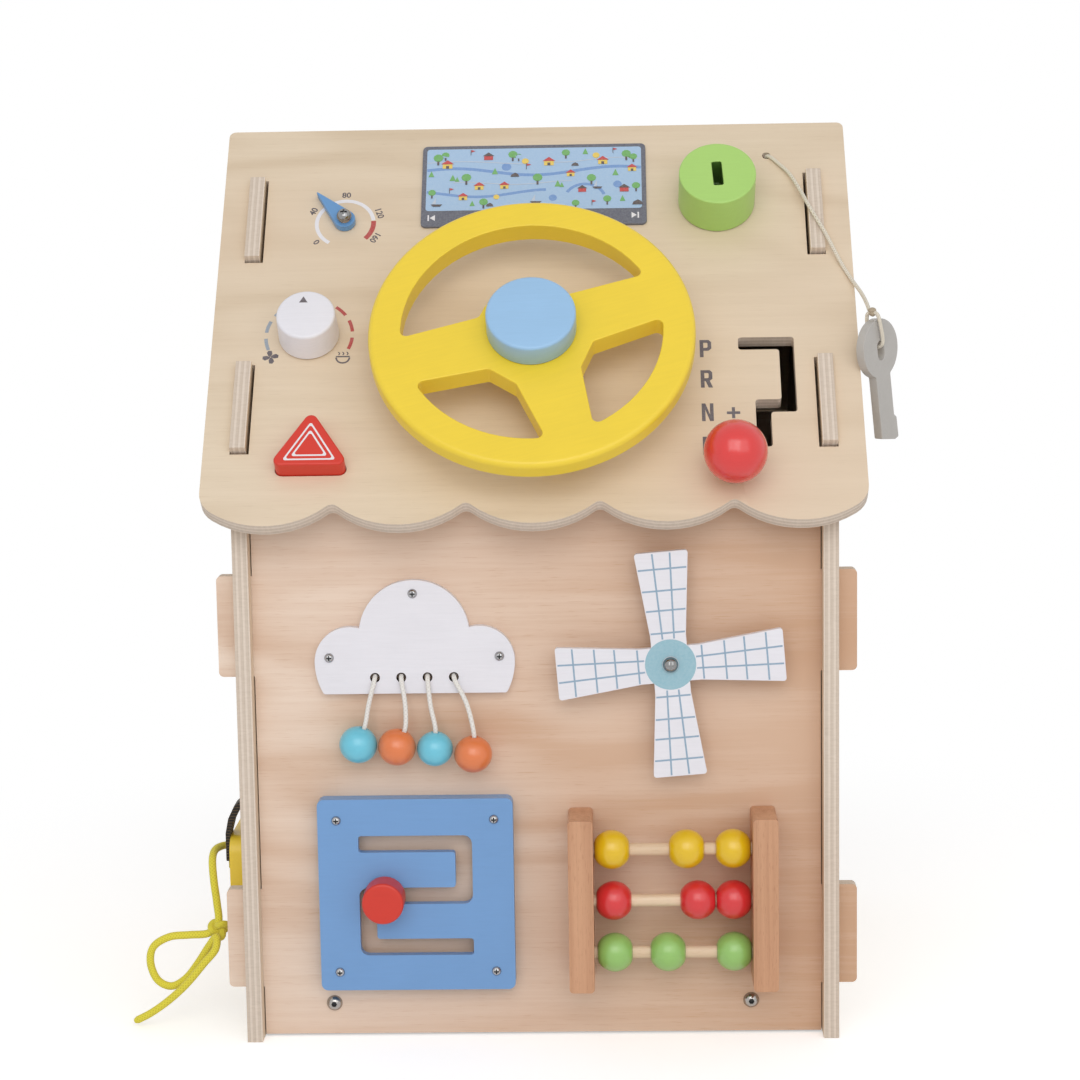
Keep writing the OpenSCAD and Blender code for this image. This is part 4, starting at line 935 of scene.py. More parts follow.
def board(node, name, place, wood, edge=None):
    """A sawn plywood board: a copy of the solid with sanded edges, and with its faces and its
    edges in two finishes."""
    obj = copy_of(node, name)
    round_edges(obj, edge or bpy.context.scene.board_sizes.board_edge, 2)
    bpy.ops.mesh.customdata_custom_splitnormals_clear()
    for face in obj.data.polygons:
        face.use_smooth = face.area < SMALL_FACE
    out = (place.to_3x3() @ Vector((0, 0, 1))).normalized()
    paint_faces(obj, lambda face: 0 if abs(face.normal.dot(out)) > 0.8 else 1)
    return ready(obj, "house", [finish(wood + " ply"), finish(wood + " edge")], [node])


# Rounding of the roof boards' edges. The back roof's slots fit their tabs closely: the sides
# between these two distances from the middle plane move out by so much.
ROOF_EDGE = 0.7
SLOT_SIDE = (143.6, 144.6)
SLOT_CLOSE = 1.3


class HouseOperator(bpy.types.Operator):
    """The plywood boards of the house: walls, panels, floor and roof"""
    bl_idname = "busy_board.house"
    bl_label = "House boards"

    def execute(self, context):
        board("side_wall_left", "left_wall_board", LEFT, "left")
        board("side_wall_right", "right_wall_board", RIGHT, "right")
        board("front_panel", "front_board", FRONT, "front")
        board("back_panel", "back_board", TURNED @ FRONT, "back")
        board("bottom_panel", "floor_board", FLOOR_PANEL, "floor")
        board("roof_front", "front_roof_board", ROOF, "roof", ROOF_EDGE)
        back = board("roof_back", "back_roof_board", TURNED @ ROOF, "back roof", ROOF_EDGE)
        low, high = SLOT_SIDE
        for v in back.data.vertices:
            if low * MM < abs(v.co.x) < high * MM:
                v.co.x += (SLOT_CLOSE if v.co.x > 0 else -SLOT_CLOSE) * MM
        return {"FINISHED"}


# ---- fittings ---------------------------------------------------------------------------------

# Solids that are shown as they are, and their finish
KEPT = {
    "panel_nuts": "zinc", "wheel_bolt": "zinc", "wheel_nut": "zinc", "knob_screw": "zinc",
    "lock_screw": "zinc", "pivot_screws": "dark chrome", "side_screw": "black steel",
    "side_peg": "grey plastic", "button_bracket": "grey plastic", "pivot_spacers": "beech roof",
    "gear_slider": "beech roof", "maze_slider": "beech rods",
}
# Screws and bolts with a recess: their finish and the recess's reach from the head's middle
DRIVEN = {"board_screws": ("worn nickel", 1.45), "panel_bolts": ("nickel", 1.6)}
# A head's reach, and how far under its top the recess begins
HEAD_RADIUS = 4.5 * MM
RECESS_STEP = 0.5 * MM


class FittingsOperator(bpy.types.Operator):
    """Bolts, nuts, screws, spacers, and what lies behind the roof and the panel"""
    bl_idname = "busy_board.fittings"
    bl_label = "Fittings"

    def execute(self, context):
        for node, name in KEPT.items():
            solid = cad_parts[node]
            solid.data.materials.clear()
            solid.data.materials.append(finish(name))
        for node, (shine, reach) in DRIVEN.items():
            heads = eased(node, node + "_driven", 0.12, 2, "house", "steel", shine, "recess shade")
            self.shade_recesses(heads, reach * MM)
        self.wind_spring()
        return {"FINISHED"}

    @staticmethod
    def wind_spring():
        """A copy of the button's spring, in zinc, which stands in for its solid."""
        spring = copy_of("button_spring", "button_spring_wound")
        ready(spring, "house", finish("zinc"), ["button_spring"])
        outwards = ROOF.to_3x3() @ Vector((0, 0, 1))
        heights = sorted((v.co.dot(outwards), v.index) for v in spring.data.vertices)
        tuple(spring.data.vertices[heights[0][1]].co)
        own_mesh(spring)

    @staticmethod
    def shade_recesses(heads, reach):
        """The walls and the foot of each recess lie close to the middle of their own head."""
        places = [FRONT.inverted() @ v.co for v in heads.data.vertices]
        hubs = []
        for at in places:
            known = any((at.xy - hub).length < 2 * HEAD_RADIUS for hub in hubs)
            if at.z > RECESS_STEP and not known:
                ring = [p.xy for p in places
                        if (p.xy - at.xy).length < 2 * HEAD_RADIUS and p.z > RECESS_STEP]
                xs, ys = [p.x for p in ring], [p.y for p in ring]
                hubs.append(Vector(((min(xs) + max(xs)) / 2, (min(ys) + max(ys)) / 2)))
        turn = FRONT.inverted().to_3x3()

        def chooser(face):
            at = FRONT.inverted() @ face.center
            if at.z <= 0 or not any((at.xy - hub).length < reach for hub in hubs):
                return 0
            top = max(p.z for p in places if (p.xy - at.xy).length < HEAD_RADIUS)
            steep = abs((turn @ face.normal).z) < 0.5
            return 1 if steep or at.z < top - RECESS_STEP else 0

        paint_faces(heads, chooser)


# ---- steering wheel -----------------------------------------------------------------------------

WHEEL = on(ROOF, 0, 80.7)
# Radius and height of the hub cap's profile, from its foot to its middle
HUB_CAP = ([(20.6, 34.05), (22.4, 34.25), (22.75, 34.8), (22.75, 45.6)]
           + bow(21.15, 46.45, 1.6, 0, 90, 5) + [(10, 48.06), (0.5, 48.07)])


class WheelOperator(bpy.types.Operator):
    """The steering wheel with its rounded rim and spokes, and the hub cap"""
    bl_idname = "busy_board.wheel"
    bl_label = "Steering wheel"

    def execute(self, context):
        sizes = context.scene.board_sizes
        eased("steering_wheel", "steering_wheel_rounded", sizes.wheel_edge, 4, "wheel",
              "yellow_wood", "yellow paint")
        cap = turned("wheel_hub_cap_turned", HUB_CAP, sizes.turning_steps)
        ready(settle(cap, WHEEL), "wheel", finish("sky paint"), ["wheel_hub_cap"])
        return {"FINISHED"}


# ---- dashboard ------------------------------------------------------------------------------

# Places on the roof's face, from its middle line and up from the eave line
GAUGE = (-101.7, 177.7)
KNOB = (-117.3, 103.4)
FAN = (-136.8, 90)
HEAT = (-99.1, 89.1)
LOCK = (97.5, 188.3)

# The figures on the dial and their angles
DIAL = {"0": 220, "40": 154, "80": 90, "120": 19, "160": -32}
DIAL_RADIUS = 19.4


def ring_part(r0, r1, a0, a1):
    """The outline of a part of a ring, in millimetres and degrees."""
    steps = max(3, int(abs(a1 - a0) / 4))
    return bow(0, 0, r1, a0, a1, steps) + bow(0, 0, r0, a1, a0, steps)


class GaugeOperator(bpy.types.Operator):
    """The speed gauge: its printed dial and its turning pointer"""
    bl_idname = "busy_board.gauge"
    bl_label = "Gauge"

    def execute(self, context):
        centre = on(ROOF, *GAUGE, PRINT_GAP)
        printed("gauge_print_white", [ring_part(14.2, 16.3, 7, 238)], centre, "house",
                "white print")
        printed("gauge_print_red", [ring_part(14.0, 16.6, -43, 5)], centre, "house",
                "red print")
        numbers = []
        for text, angle in DIAL.items():
            number = word(text, 3.6, "gauge_number", bold=0.022)
            place = centre @ Matrix.Rotation(radians(angle), 4, "Z")
            numbers.append(settle(number, on(place, DIAL_RADIUS, 0, turn=-90)))
        ready(join("gauge_print_numbers", numbers), "house", finish("dark print"))
        eased("gauge_pointer", "gauge_pointer_rounded", 0.5, 2, "pointer", "deep_blue_wood",
              "pointer blue paint")
        return {"FINISHED"}


KNOB_TOP = 19.03
KNOB_PROFILE = ([(2, 0.4), (14.8, 0.4), (15.8, 1.2)] + bow(13.7, 17.4, 1.6, 0, 90, 5)
                + [(6, 19.02), (0.5, KNOB_TOP)])
# The dashes round the knob: their slot, print and middle angles, and half a dash's angle
DASHES = {"red": ("red_wood", "red print", (44.5, 15.5, -13.5)),
          "blue": ("deep_blue_wood", "blue grey print", (135.5, 164.5, 193.5))}
HALF_DASH = 9.5
LEAF = [(0.3, -0.2), (1.6, -1.5), (3.6, -1.8), (4.3, -0.3), (3.3, 1.0), (1.4, 0.9), (0.3, 0.4)]
HEATER = [bow(0, 0, 3.9, 180, 360, 12) + bow(0, 0, 3.0, 360, 180, 12),
          [(-3.6, 0.2), (3.6, 0.2), (3.6, 1.0), (-3.6, 1.0)]]
STEAM = [[(x - 0.35, 1.6), (x + 0.35, 1.6), (x + 0.75, 2.6), (x + 0.1, 3.6), (x - 0.6, 3.6),
          (x + 0.1, 2.6)] for x in (-2.2, 0, 2.2)]


def turned_flat(outline, angle):
    """An outline turned round the origin by an angle in degrees."""
    turn = Matrix.Rotation(radians(angle), 2)
    return [tuple(turn @ Vector(p)) for p in outline]


class ClimateOperator(bpy.types.Operator):
    """The climate knob with its mark, and the printed dashes and signs around it"""
    bl_idname = "busy_board.climate"
    bl_label = "Climate knob"

    def execute(self, context):
        knob = turned("climate_knob_turned", KNOB_PROFILE, context.scene.board_sizes.turning_steps)
        ready(settle(knob, on(ROOF, *KNOB)), "climate_knob",
              finish("knob white paint"), ["climate_knob"])
        printed("climate_knob_mark", [[(-3.7, 7.4), (0.7, 7.4), (-1.5, 11.3)]],
                on(ROOF, *KNOB, KNOB_TOP), "climate_knob", "dark print")
        for name, (slot, colour, angles) in DASHES.items():
            dashes = [ring_part(21.7, 23.5, a - HALF_DASH, a + HALF_DASH) for a in angles]
            printed("climate_print_" + name, dashes, on(ROOF, *KNOB, PRINT_GAP), "house",
                    colour)
        blades = [turned_flat(LEAF, angle) for angle in (20, 110, 200, 290)]
        for name, shape, place in (("fan", blades, FAN), ("heat", HEATER + STEAM, HEAT)):
            printed("climate_print_" + name, shape, on(ROOF, *place, PRINT_GAP), "house",
                    "dark print")
        return {"FINISHED"}


def soft_outline(points, radius, n=4):
    """An outline with every corner rounded by a radius, in millimetres."""
    out = []
    for a, p, b in zip(points[-1:] + points[:-1], points, points[1:] + points[:1]):
        a, p, b = Vector(a), Vector(p), Vector(b)
        u, v = (a - p).normalized(), (b - p).normalized()
        half = u.angle(v) / 2
        reach = radius / max(0.01, sin(half) / cos(half))
        centre = p + (u + v).normalized() * radius / sin(half)
        s, e = p + u * reach - centre, p + v * reach - centre
        out += [tuple(centre + s.lerp(e, i / n).normalized() * radius) for i in range(n + 1)]
    return out


# The outermost printed triangle's left, right, foot and top, and the height of the button's face
TRIANGLE = (-125.9, -98.7, 18.9, 42.2)
BUTTON_TOP = 10.0


class HazardOperator(bpy.types.Operator):
    """The hazard button, a push button with two printed triangles"""
    bl_idname = "busy_board.hazard"
    bl_label = "Hazard button"

    def execute(self, context):
        eased("hazard_button", "hazard_button_rounded", 1.6, 3, "hazard_button", "red_wood",
              "red paint")

        def triangle(inset):
            left, right, foot, top = TRIANGLE
            left, right = left + inset * 1.75, right - inset * 1.75
            corners = [(left, foot + inset), (right, foot + inset),
                       ((left + right) / 2, top - inset * 1.95)]
            return soft_outline(corners, 0.9)

        lines = [triangle(0), triangle(0.9)[::-1], triangle(2.4), triangle(3.3)[::-1]]
        printed("hazard_button_print", lines, on(ROOF, 0, 0, BUTTON_TOP), "hazard_button",
                "white print")
        return {"FINISHED"}


SCREEN_TOP = 1.56
MAP_LEFT, MAP_RIGHT, MAP_LOW, MAP_HIGH = -58.6, 57.6, 184.0, 226.6
# How much larger the map's motifs are printed than their own outlines
MOTIF_SCALE = 1.4
# The motifs' outlines
DISC = bow(0, 0, 1, 0, 324, 9)
HOUSE = [(-1, 0), (1, 0), (1, 1.1), (-1, 1.1)]
GABLE = [(-1.3, 1.15), (1.3, 1.15), (0, 2.2)]
DOOR = [(-0.3, 0), (0.3, 0), (0.3, 0.7), (-0.3, 0.7)]
PINE = [(-1, 0.5), (1, 0.5), (0, 3.1)]
TRUNK = [(-0.2, -1.9), (0.2, -1.9), (0.2, -0.9), (-0.2, -0.9)]
HULL = [(-1.5, 0), (-0.9, -0.7), (0.9, -0.7), (1.5, 0)]
JIB = [(-0.15, 0.2), (-0.15, 2.4), (-1.2, 0.2)]
POLE = [(-0.12, 0), (0.12, 0), (0.12, 3), (-0.12, 3)]
PENNANT = [(0.2, 3), (0.2, 1.7), (1.9, 2.35)]
ROCK = [(-1.2, 0), (1.2, 0), (0.9, 0.9), (0.1, 1.4), (-0.9, 0.8)]
# Where they stand on the map, each with its size
CROWNS = ((-52.5, 220.5, 1.9), (-48.6, 222.4, 1.5), (-37, 206.6, 1.9), (-27.5, 189.6, 1.7),
          (-12, 222.3, 1.8), (-8.8, 220.9, 1.3), (1.5, 206, 1.9), (16.8, 223, 1.6),
          (30.6, 205.2, 1.8), (39, 190.6, 1.6), (49.6, 221.7, 1.8), (53.4, 219.6, 1.5),
          (54.6, 199.4, 1.6), (-55.4, 196.4, 1.5), (22, 188, 1.5))
PINES = ((-44.4, 203.6, 1.2), (-42, 203.2, 0.9), (-21.6, 207.8, 1.2), (12.4, 198.6, 1.2),
         (14.6, 198.4, 0.9), (43.6, 205.8, 1.2), (-56, 206.6, 1.1), (27.4, 221, 1.1),
         (47.2, 188, 1.1), (-33.6, 186.2, 1.0))
HOMES = ((-47.4, 213, 1.9), (-30, 198, 1.7), (-16.4, 198.4, 1.6), (7.6, 214.2, 1.9),
         (36.8, 214.6, 1.8), (52.6, 209.4, 1.6), (19.4, 206.4, 1.5), (-38.6, 191, 1.6))
HALLS = ((-25.2, 218.6, 1.7), (48.2, 195.2, 1.7), (25.6, 195.4, 1.5))
BOATS = ((-52.8, 188.2, 1.5), (0.6, 189.4, 1.5), (33.8, 198.8, 1.3))
FLAGS = ((-34.8, 222, 0.9), (-4.6, 211.6, 1.0), (42.4, 222, 0.9), (-46, 195.6, 0.9),
         (30.8, 186, 0.9))
ROCKS = ((-10.8, 206.6, 1.4), (55.2, 186.2, 1.7), (-24.2, 186.4, 1.2), (21.8, 213.6, 1.2))
SUNS = ((-5.2, 217.4, 1.4), (33.2, 220.8, 1.4), (-20.6, 192.8, 1.2))
PONDS = ((-15.4, 213.6, 1.9), (44.6, 200.6, 1.7), (9.8, 191.8, 1.6))


def lane(points, width):
    """The outline of a lane of one width along a line."""
    line = [Vector(p) for p in points]
    one, two = [], []
    for i, p in enumerate(line):
        way = (line[min(i + 1, len(line) - 1)] - line[max(i - 1, 0)]).normalized()
        side = Vector((-way.y, way.x)) * width / 2
        one.append(tuple(p + side))
        two.append(tuple(p - side))
    return one + two[::-1]


def placed(shape, places):
    """A motif's outline at each of its places."""
    return [[(x + px * size * MOTIF_SCALE, y + py * size * MOTIF_SCALE) for px, py in shape]
            for x, y, size in places]


def wave(x0, x1, y, size, turns, start, n=24):
    """A wavy line across the map."""
    return [(x0 + (x1 - x0) * i / n, y + size * sin(start + turns * pi * i / n))
            for i in range(n + 1)]


def map_layers():
    """The map's outlines by print, from the lowest layer to the topmost."""
    left, right = MAP_LEFT + 0.3, MAP_RIGHT - 0.3
    roads = [(wave(left, right, 210.4, 2.6, 2.6, 0.6), 1.9),
             (wave(left, 6, 195.4, 2.2, 1.7, 2.4), 1.7), (bow(27, 190, 11, 20, 150, 14), 1.7)]
    paths = [wave(left, -6, 216.6, 1.2, 1.2, 0.4, 16), wave(4, right, 217.8, 1.4, 1.8, 3.6, 18),
             wave(-44, 20, 202.4, 1.0, 2.2, 1.0, 18)]
    return {
        "road": [lane(*road) for road in roads] + placed(DISC, PONDS),
        "path": [lane(path, 0.5) for path in paths] + placed(JIB, BOATS),
        "green": placed(DISC, CROWNS) + placed(PINE, PINES),
        "yellow": placed(HOUSE, HOMES) + placed(DISC, SUNS),
        "red": placed(GABLE, HOMES) + placed(HOUSE, HALLS) + placed(PENNANT, FLAGS),
        "brown": placed(TRUNK, CROWNS) + placed(GABLE, HALLS) + placed(DOOR, HOMES)
        + placed(HULL, BOATS) + placed(POLE, FLAGS) + placed(ROCK, ROCKS),
    }


class ScreenOperator(bpy.types.Operator):
    """The screen: a printed plate with a made-up town plan and a bar with two arrows"""
    bl_idname = "busy_board.screen"
    bl_label = "Screen"

    def execute(self, context):
        eased("screen_plate", "screen_plate_edged", 0.3, 2, "house", "screen",
              "screen grey print")
        field = soft_outline([(MAP_LEFT, MAP_LOW), (MAP_RIGHT, MAP_LOW), (MAP_RIGHT, MAP_HIGH),
                              (MAP_LEFT, MAP_HIGH)], 1.6)
        printed("screen_map_water", [field], on(ROOF, 0, 0, SCREEN_TOP), "house",
                "map water print")
        for i, (colour, outlines) in enumerate(map_layers().items()):
            printed("screen_map_" + colour, outlines,
                    on(ROOF, 0, 0, SCREEN_TOP + PRINT_THICK * (i + 1)), "house",
                    f"map {colour} print")
        arrows = []
        for x, way in ((-55, 1), (53.5, -1)):
            bar, edge, foot, tip = (x - way * k for k in (2.4, 1.6, 1.2, -1.6))
            arrows += [[(edge, 177.2), (edge, 181.2), (bar, 181.2), (bar, 177.2)],
                       [(foot, 179.2), (tip, 177.2), (tip, 181.2)]]
        printed("screen_bar_arrows", arrows, on(ROOF, 0, 0, SCREEN_TOP), "house",
                "white print")
        return {"FINISHED"}


# The key slot's walls are dark from this depth on, and lie this close to the lock's axis
SLOT_SHADE_DEPTH = 1.5 * MM
SLOT_REACH = 10 * MM


class LockOperator(bpy.types.Operator):
    """The ignition lock with its key slot, and the painted key"""
    bl_idname = "busy_board.lock"
    bl_label = "Lock and key"

    def execute(self, context):
        lock = eased("ignition_lock", "ignition_lock_rounded", 0.7, 3, "ignition_lock",
                     "green_wood", "green paint", "slot shade")
        back = ROOF.inverted()
        floor = max((back @ v.co).z for v in lock.data.vertices) - SLOT_SHADE_DEPTH
        centre = Vector(LOCK) * MM

        def in_slot(face):
            at = back @ face.center
            return 1 if at.z < floor and (at.xy - centre).length < SLOT_REACH else 0

        paint_faces(lock, in_slot)
        eased("key", "key_rounded", 0.6, 2, "key", "grey_paint", "grey paint")
        return {"FINISHED"}


# Outlines of the letters' parts, 6 mm wide and 11 mm high, and the letters by their place up the
# roof's face
STEM = [(-3, -5.45), (-1.1, -5.45)]
BOWL = [(1.5, -1.4), (3, 0), (3, 4.1), (1.7, 5.45), (-3, 5.45)]
EYE = [(-1.1, 0.4), (-1.1, 3.7), (0.7, 3.7), (1.1, 3.3), (1.1, 0.9), (0.6, 0.4)]
GEAR_LETTERS = {
    91.5: [STEM + [(-1.1, -1.4)] + BOWL, EYE],
    72.3: [STEM + [(-1.1, -1.4), (-0.5, -1.4), (1.0, -5.45), (3.2, -5.45), (1.6, -1.2)]
           + BOWL[1:], EYE],
    51.5: [[(-3, -5.45), (-1.2, -5.45), (-1.2, 1.6), (1.1, -5.45), (3, -5.45), (3, 5.45),
            (1.2, 5.45), (1.2, -1.6), (-1.1, 5.45), (-3, 5.45)]],
    31: [[(-3, -5.45), (1.6, -5.45), (3, -4.1), (3, 4.1), (1.6, 5.45), (-3, 5.45)],
         [(-1.1, -3.7), (-1.1, 3.7), (0.7, 3.7), (1.1, 3.3), (1.1, -3.3), (0.7, -3.7)]],
}
LETTERS_AT = 88.9
PLUS = [(-3.4, -0.8), (-0.8, -0.8), (-0.8, -3.4), (0.8, -3.4), (0.8, -0.8), (3.4, -0.8),
        (3.4, 0.8), (0.8, 0.8), (0.8, 3.4), (-0.8, 3.4), (-0.8, 0.8), (-3.4, 0.8)]
PLUS_AT = (102, 51)
# The ball's radius, and its middle's place on the roof and above its own foot
BALL_RADIUS = 16.0
BALL_AT = (101.2, 14)
BALL_UP = 20


class GearOperator(bpy.types.Operator):
    """The gear lever's ball and the printed letters beside its gate"""
    bl_idname = "busy_board.gear"
    bl_label = "Gear lever"

    def execute(self, context):
        ball = [(BALL_RADIUS * sin(radians(a)), BALL_UP - BALL_RADIUS * cos(radians(a)))
                for a in range(20, 180, 5)]
        foot = ball[0][1]
        profile = [(3.7, foot + 0.4), (4.6, foot)] + ball[1:] + [(0.4, BALL_UP + BALL_RADIUS)]
        ball = turned("gear_ball_turned", profile, context.scene.board_sizes.turning_steps)
        ready(settle(ball, on(ROOF, *BALL_AT)), "gear_lever",
              finish("ball red lacquer"), ["gear_ball"])
        letters = [settle(flat("gear_letter", outlines), on(ROOF, LETTERS_AT, up, PRINT_GAP))
                   for up, outlines in GEAR_LETTERS.items()]
        letters.append(settle(flat("gear_plus", [PLUS]), on(ROOF, *PLUS_AT, PRINT_GAP)))
        ready(join("gear_print_letters", letters), "house", finish("dark print"))
        return {"FINISHED"}


# ---- front wall -----------------------------------------------------------------------------


def round_bead(name, size, hole, flatten, steps, rings=20):
    """A turned ball with a bore along its axis and eased mouths."""
    r = size / 2
    mouth = acos(sqrt(max(0.01, 1 - (hole * 1.5 / r) ** 2)))
    angles = [mouth + (pi - 2 * mouth) * i / rings for i in range(rings + 1)]
    outer = [(r * sin(angle), -r * flatten * cos(angle)) for angle in angles]
    end = outer[-1][1]
    return turned(name, [(hole, 0.9 - end), (hole * 1.15, 0.25 - end)] + outer
                  + [(hole * 1.15, end - 0.25), (hole, end - 0.9), (hole, 0), (hole, 0.9 - end)],
                  steps)


# Diameters of the rain beads, their bore's radius, and the reach of the holes' walls in the cloud
RAIN_SIZES = (19.6, 19.6, 18.6, 19.6)
RAIN_BORE = 1.75
HOLE_REACH = 2.7 * MM


class CloudOperator(bpy.types.Operator):
    """The rain cloud board and its four beads"""
    bl_idname = "busy_board.cloud"
    bl_label = "Rain cloud"

    def execute(self, context):
        cloud = eased("cloud_board", "cloud_board_rounded", 0.7, 2, "house", "white_wood",
                      "white paint", "bore shade")
        holes = [Vector((x, RAIN_Z)) * MM for x in RAIN_X]

        def bored(face):
            at = FRONT.inverted() @ face.center
            return 1 if any((at.xy - hole).length < HOLE_REACH for hole in holes) else 0

        paint_faces(cloud, bored)
        for i, (x, out, z, lean) in enumerate(RAIN_BEADS):
            bead = round_bead(f"rain_bead_{i + 1}_turned", RAIN_SIZES[i], RAIN_BORE, 0.965, 48)
            settle(bead, on(FRONT, x, z, out, -lean) @ Matrix.Rotation(radians(-90), 4, "X"))
            colour = "blue" if i % 2 == 0 else "orange"
            ready(bead, f"rain_{i + 1}", finish(colour + " bead"),
                  [f"rain_bead_{i + 1}"])
        return {"FINISHED"}


# The windmill's face on the panel, and how far it is turned
MILL = (68.3, 198.9, 14)
MILL_TURN = 4.5
# Half a blade's width at two radii, half the width of the printed lines, and where these run
BLADE = ((15.0, 9.1), (58.0, 13.75))
HALF_LINE = 0.45
LINE_SHARES = (-0.33, 0.33)
LINE_FROM, LINE_TO = 13.2, 57.3
LINE_RADII = (16.4, 28, 38.2, 49.3)
LINE_THICK = 0.04


def half_width(radius):
    (r0, w0), (r1, w1) = BLADE
    return w0 + (w1 - w0) * (radius - r0) / (r1 - r0)


def blade_lines():
    """The outlines of one blade's printed lines, two along it and four across."""
    cells = []
    for share in LINE_SHARES:
        w0, w1 = share * half_width(13.5), share * half_width(LINE_TO)
        cells.append([(w0 - HALF_LINE, LINE_FROM), (w0 + HALF_LINE, LINE_FROM),
                      (w1 + HALF_LINE, LINE_TO), (w1 - HALF_LINE, LINE_TO)])
    for r in LINE_RADII:
        w = half_width(max(r, BLADE[0][0])) - 0.5
        cells.append([(-w, r - HALF_LINE), (w, r - HALF_LINE), (w, r + HALF_LINE),
                      (-w, r + HALF_LINE)])
    return cells


class WindmillOperator(bpy.types.Operator):
    """The windmill with its printed grid and hub"""
    bl_idname = "busy_board.windmill"
    bl_label = "Windmill"

    def execute(self, context):
        eased("windmill", "windmill_rounded", 0.6, 2, "windmill", "mill_blue", "white paint")
        place = on(FRONT, *MILL, MILL_TURN)
        strips = []
        for i, angle in enumerate((0, 90, 180, 270)):
            for j, cell in enumerate(blade_lines()):
                # the lines across lie a little higher, so that no two faces share a plane
                strip = flat(f"windmill_line_{i}_{j}", [turned_flat(cell, angle)],
                             LINE_THICK + 0.01 * (j >= len(LINE_SHARES)))
                strips.append(settle(strip, place))
        lines = join("windmill_print_lines", strips)
        ready(lines, "windmill", finish("line blue print"))
        hub = flat("windmill_print_hub", [bow(0, 0, 13.0, 0, 352, 44), bow(0, 0, 4.2, 352, 0, 30)],
                   0.08)
        ready(settle(hub, place), "windmill", finish("hub blue print"))
        return {"FINISHED"}


# The maze knob's place on the panel and its profile
MAZE_KNOB = (-80.3, 77.8)
MAZE_KNOB_PROFILE = ([(4.2, 9.45), (9.9, 9.45), (10.75, 10.3)] + bow(9.35, 23.6, 1.4, 0, 90, 5)
                     + [(5, 25.02), (0.4, 25.03)])


class MazeOperator(bpy.types.Operator):
    """The slot maze and its sliding knob"""
    bl_idname = "busy_board.maze"
    bl_label = "Slot maze"

    def execute(self, context):
        sizes = context.scene.board_sizes
        eased("maze_board", "maze_board_rounded", sizes.maze_edge, 3, "house", "blue_wood",
              "blue paint")
        knob = turned("maze_knob_turned", MAZE_KNOB_PROFILE, sizes.turning_steps)
        ready(settle(knob, on(FRONT, *MAZE_KNOB)), "maze_knob",
              finish("knob red paint"), ["maze_knob"])
        return {"FINISHED"}


# The rods' height and their beads' places along them, by the beads' colour; then where the rods
# start across the panel, and how far out of it they lie
RODS = {"yellow": (103.3, (9.5, 47.8, 71.6)), "red": (76.4, (10.3, 53.4, 71.8)),
        "green": (49.0, (10.6, 37.9, 71.9))}
ROD_START = 27.7
ROD_OUT = 16
# A rod bead's radius, half its length between the flats, the flats' radius and the bore's radius
BEAD_RADIUS = 10
BEAD_HALF = 9.0
BEAD_FLAT = 4.36
BEAD_BORE = 3.3


class AbacusOperator(bpy.types.Operator):
    """The bead frame: posts, rods and nine balls with flat ends"""
    bl_idname = "busy_board.abacus"
    bl_label = "Bead frame"

    def execute(self, context):
        eased("abacus_posts", "abacus_posts_eased", 0.5, 2, "house", "beech", "beech posts")
        rods = copy_of("abacus_rods", "abacus_rods_smooth")
        smooth(rods, 40)
        ready(rods, "house", finish("beech rods"), ["abacus_rods"])
        reach = degrees(asin(BEAD_HALF / BEAD_RADIUS))
        profile = ([(BEAD_BORE, -8.6), (BEAD_BORE + 0.4, -8.95), (BEAD_FLAT - 0.5, -BEAD_HALF)]
                   + bow(0, 0, BEAD_RADIUS, -reach, reach, 16)[1:-1]
                   + [(BEAD_FLAT - 0.5, BEAD_HALF), (BEAD_BORE + 0.4, 8.95), (BEAD_BORE, 8.6),
                      (BEAD_BORE, 0), (BEAD_BORE, -8.6)])
        for colour, (z, places) in RODS.items():
            for i, at in enumerate(places):
                bead = turned(f"{colour}_bead_{i + 1}_turned", profile, 48)
                place = on(FRONT, ROD_START + at, z, ROD_OUT)
                settle(bead, place @ Matrix.Rotation(radians(90), 4, "Y"))
                ready(bead, f"{colour}_bead_{i + 1}", finish(colour + " bead"),
                      [f"{colour}_bead_{i + 1}"])
        return {"FINISHED"}


# ---- left wall ------------------------------------------------------------------------------


# The knot of the solid's lace lies within this reach; it is tied anew as a trefoil
KNOT_REACH = 7 * MM
KNOT_SIZE = 1.5 * MM
KNOT_STEPS = 96


class ShoeOperator(bpy.types.Operator):
    """The lacing shoe: its board, strap, lace bars and knot"""
    bl_idname = "busy_board.shoe"
    bl_label = "Lacing shoe"

    def execute(self, context):
        eased("shoe_board", "shoe_board_rounded", 1.2, 3, "house", "mustard_wood", "mustard paint")
        eased("shoe_strap", "shoe_strap_ribbed", 0.5, 2, "house", "black_rubber", "black webbing")
        laces = copy_of("shoe_lace", "shoe_lace_bars")
        edit_all(laces)
        bpy.ops.mesh.select_all(action="DESELECT")
        bpy.ops.object.mode_set(mode="OBJECT")
        for v in laces.data.vertices:
            v.select = (v.co - KNOT).length < KNOT_REACH
        bpy.ops.object.mode_set(mode="EDIT")
        bpy.ops.mesh.delete(type="VERT")
        bpy.ops.object.mode_set(mode="OBJECT")
        smooth(laces, 50)
        turns = [2 * pi * i / KNOT_STEPS for i in range(KNOT_STEPS + 1)]
        wraps = [KNOT + KNOT_SIZE * Vector((sin(t) + 2 * sin(2 * t), 1.25 * sin(3 * t),
                                            cos(t) - 2 * cos(2 * t))) for t in turns]
        tied = strand("shoe_lace_knot", wraps, 1.95)
        ready(join("shoe_lace_tied", [laces, tied]), "house", finish("yellow lace"),
              ["shoe_lace"])
        return {"FINISHED"}


# ---- camera and studio ------------------------------------------------------------------------


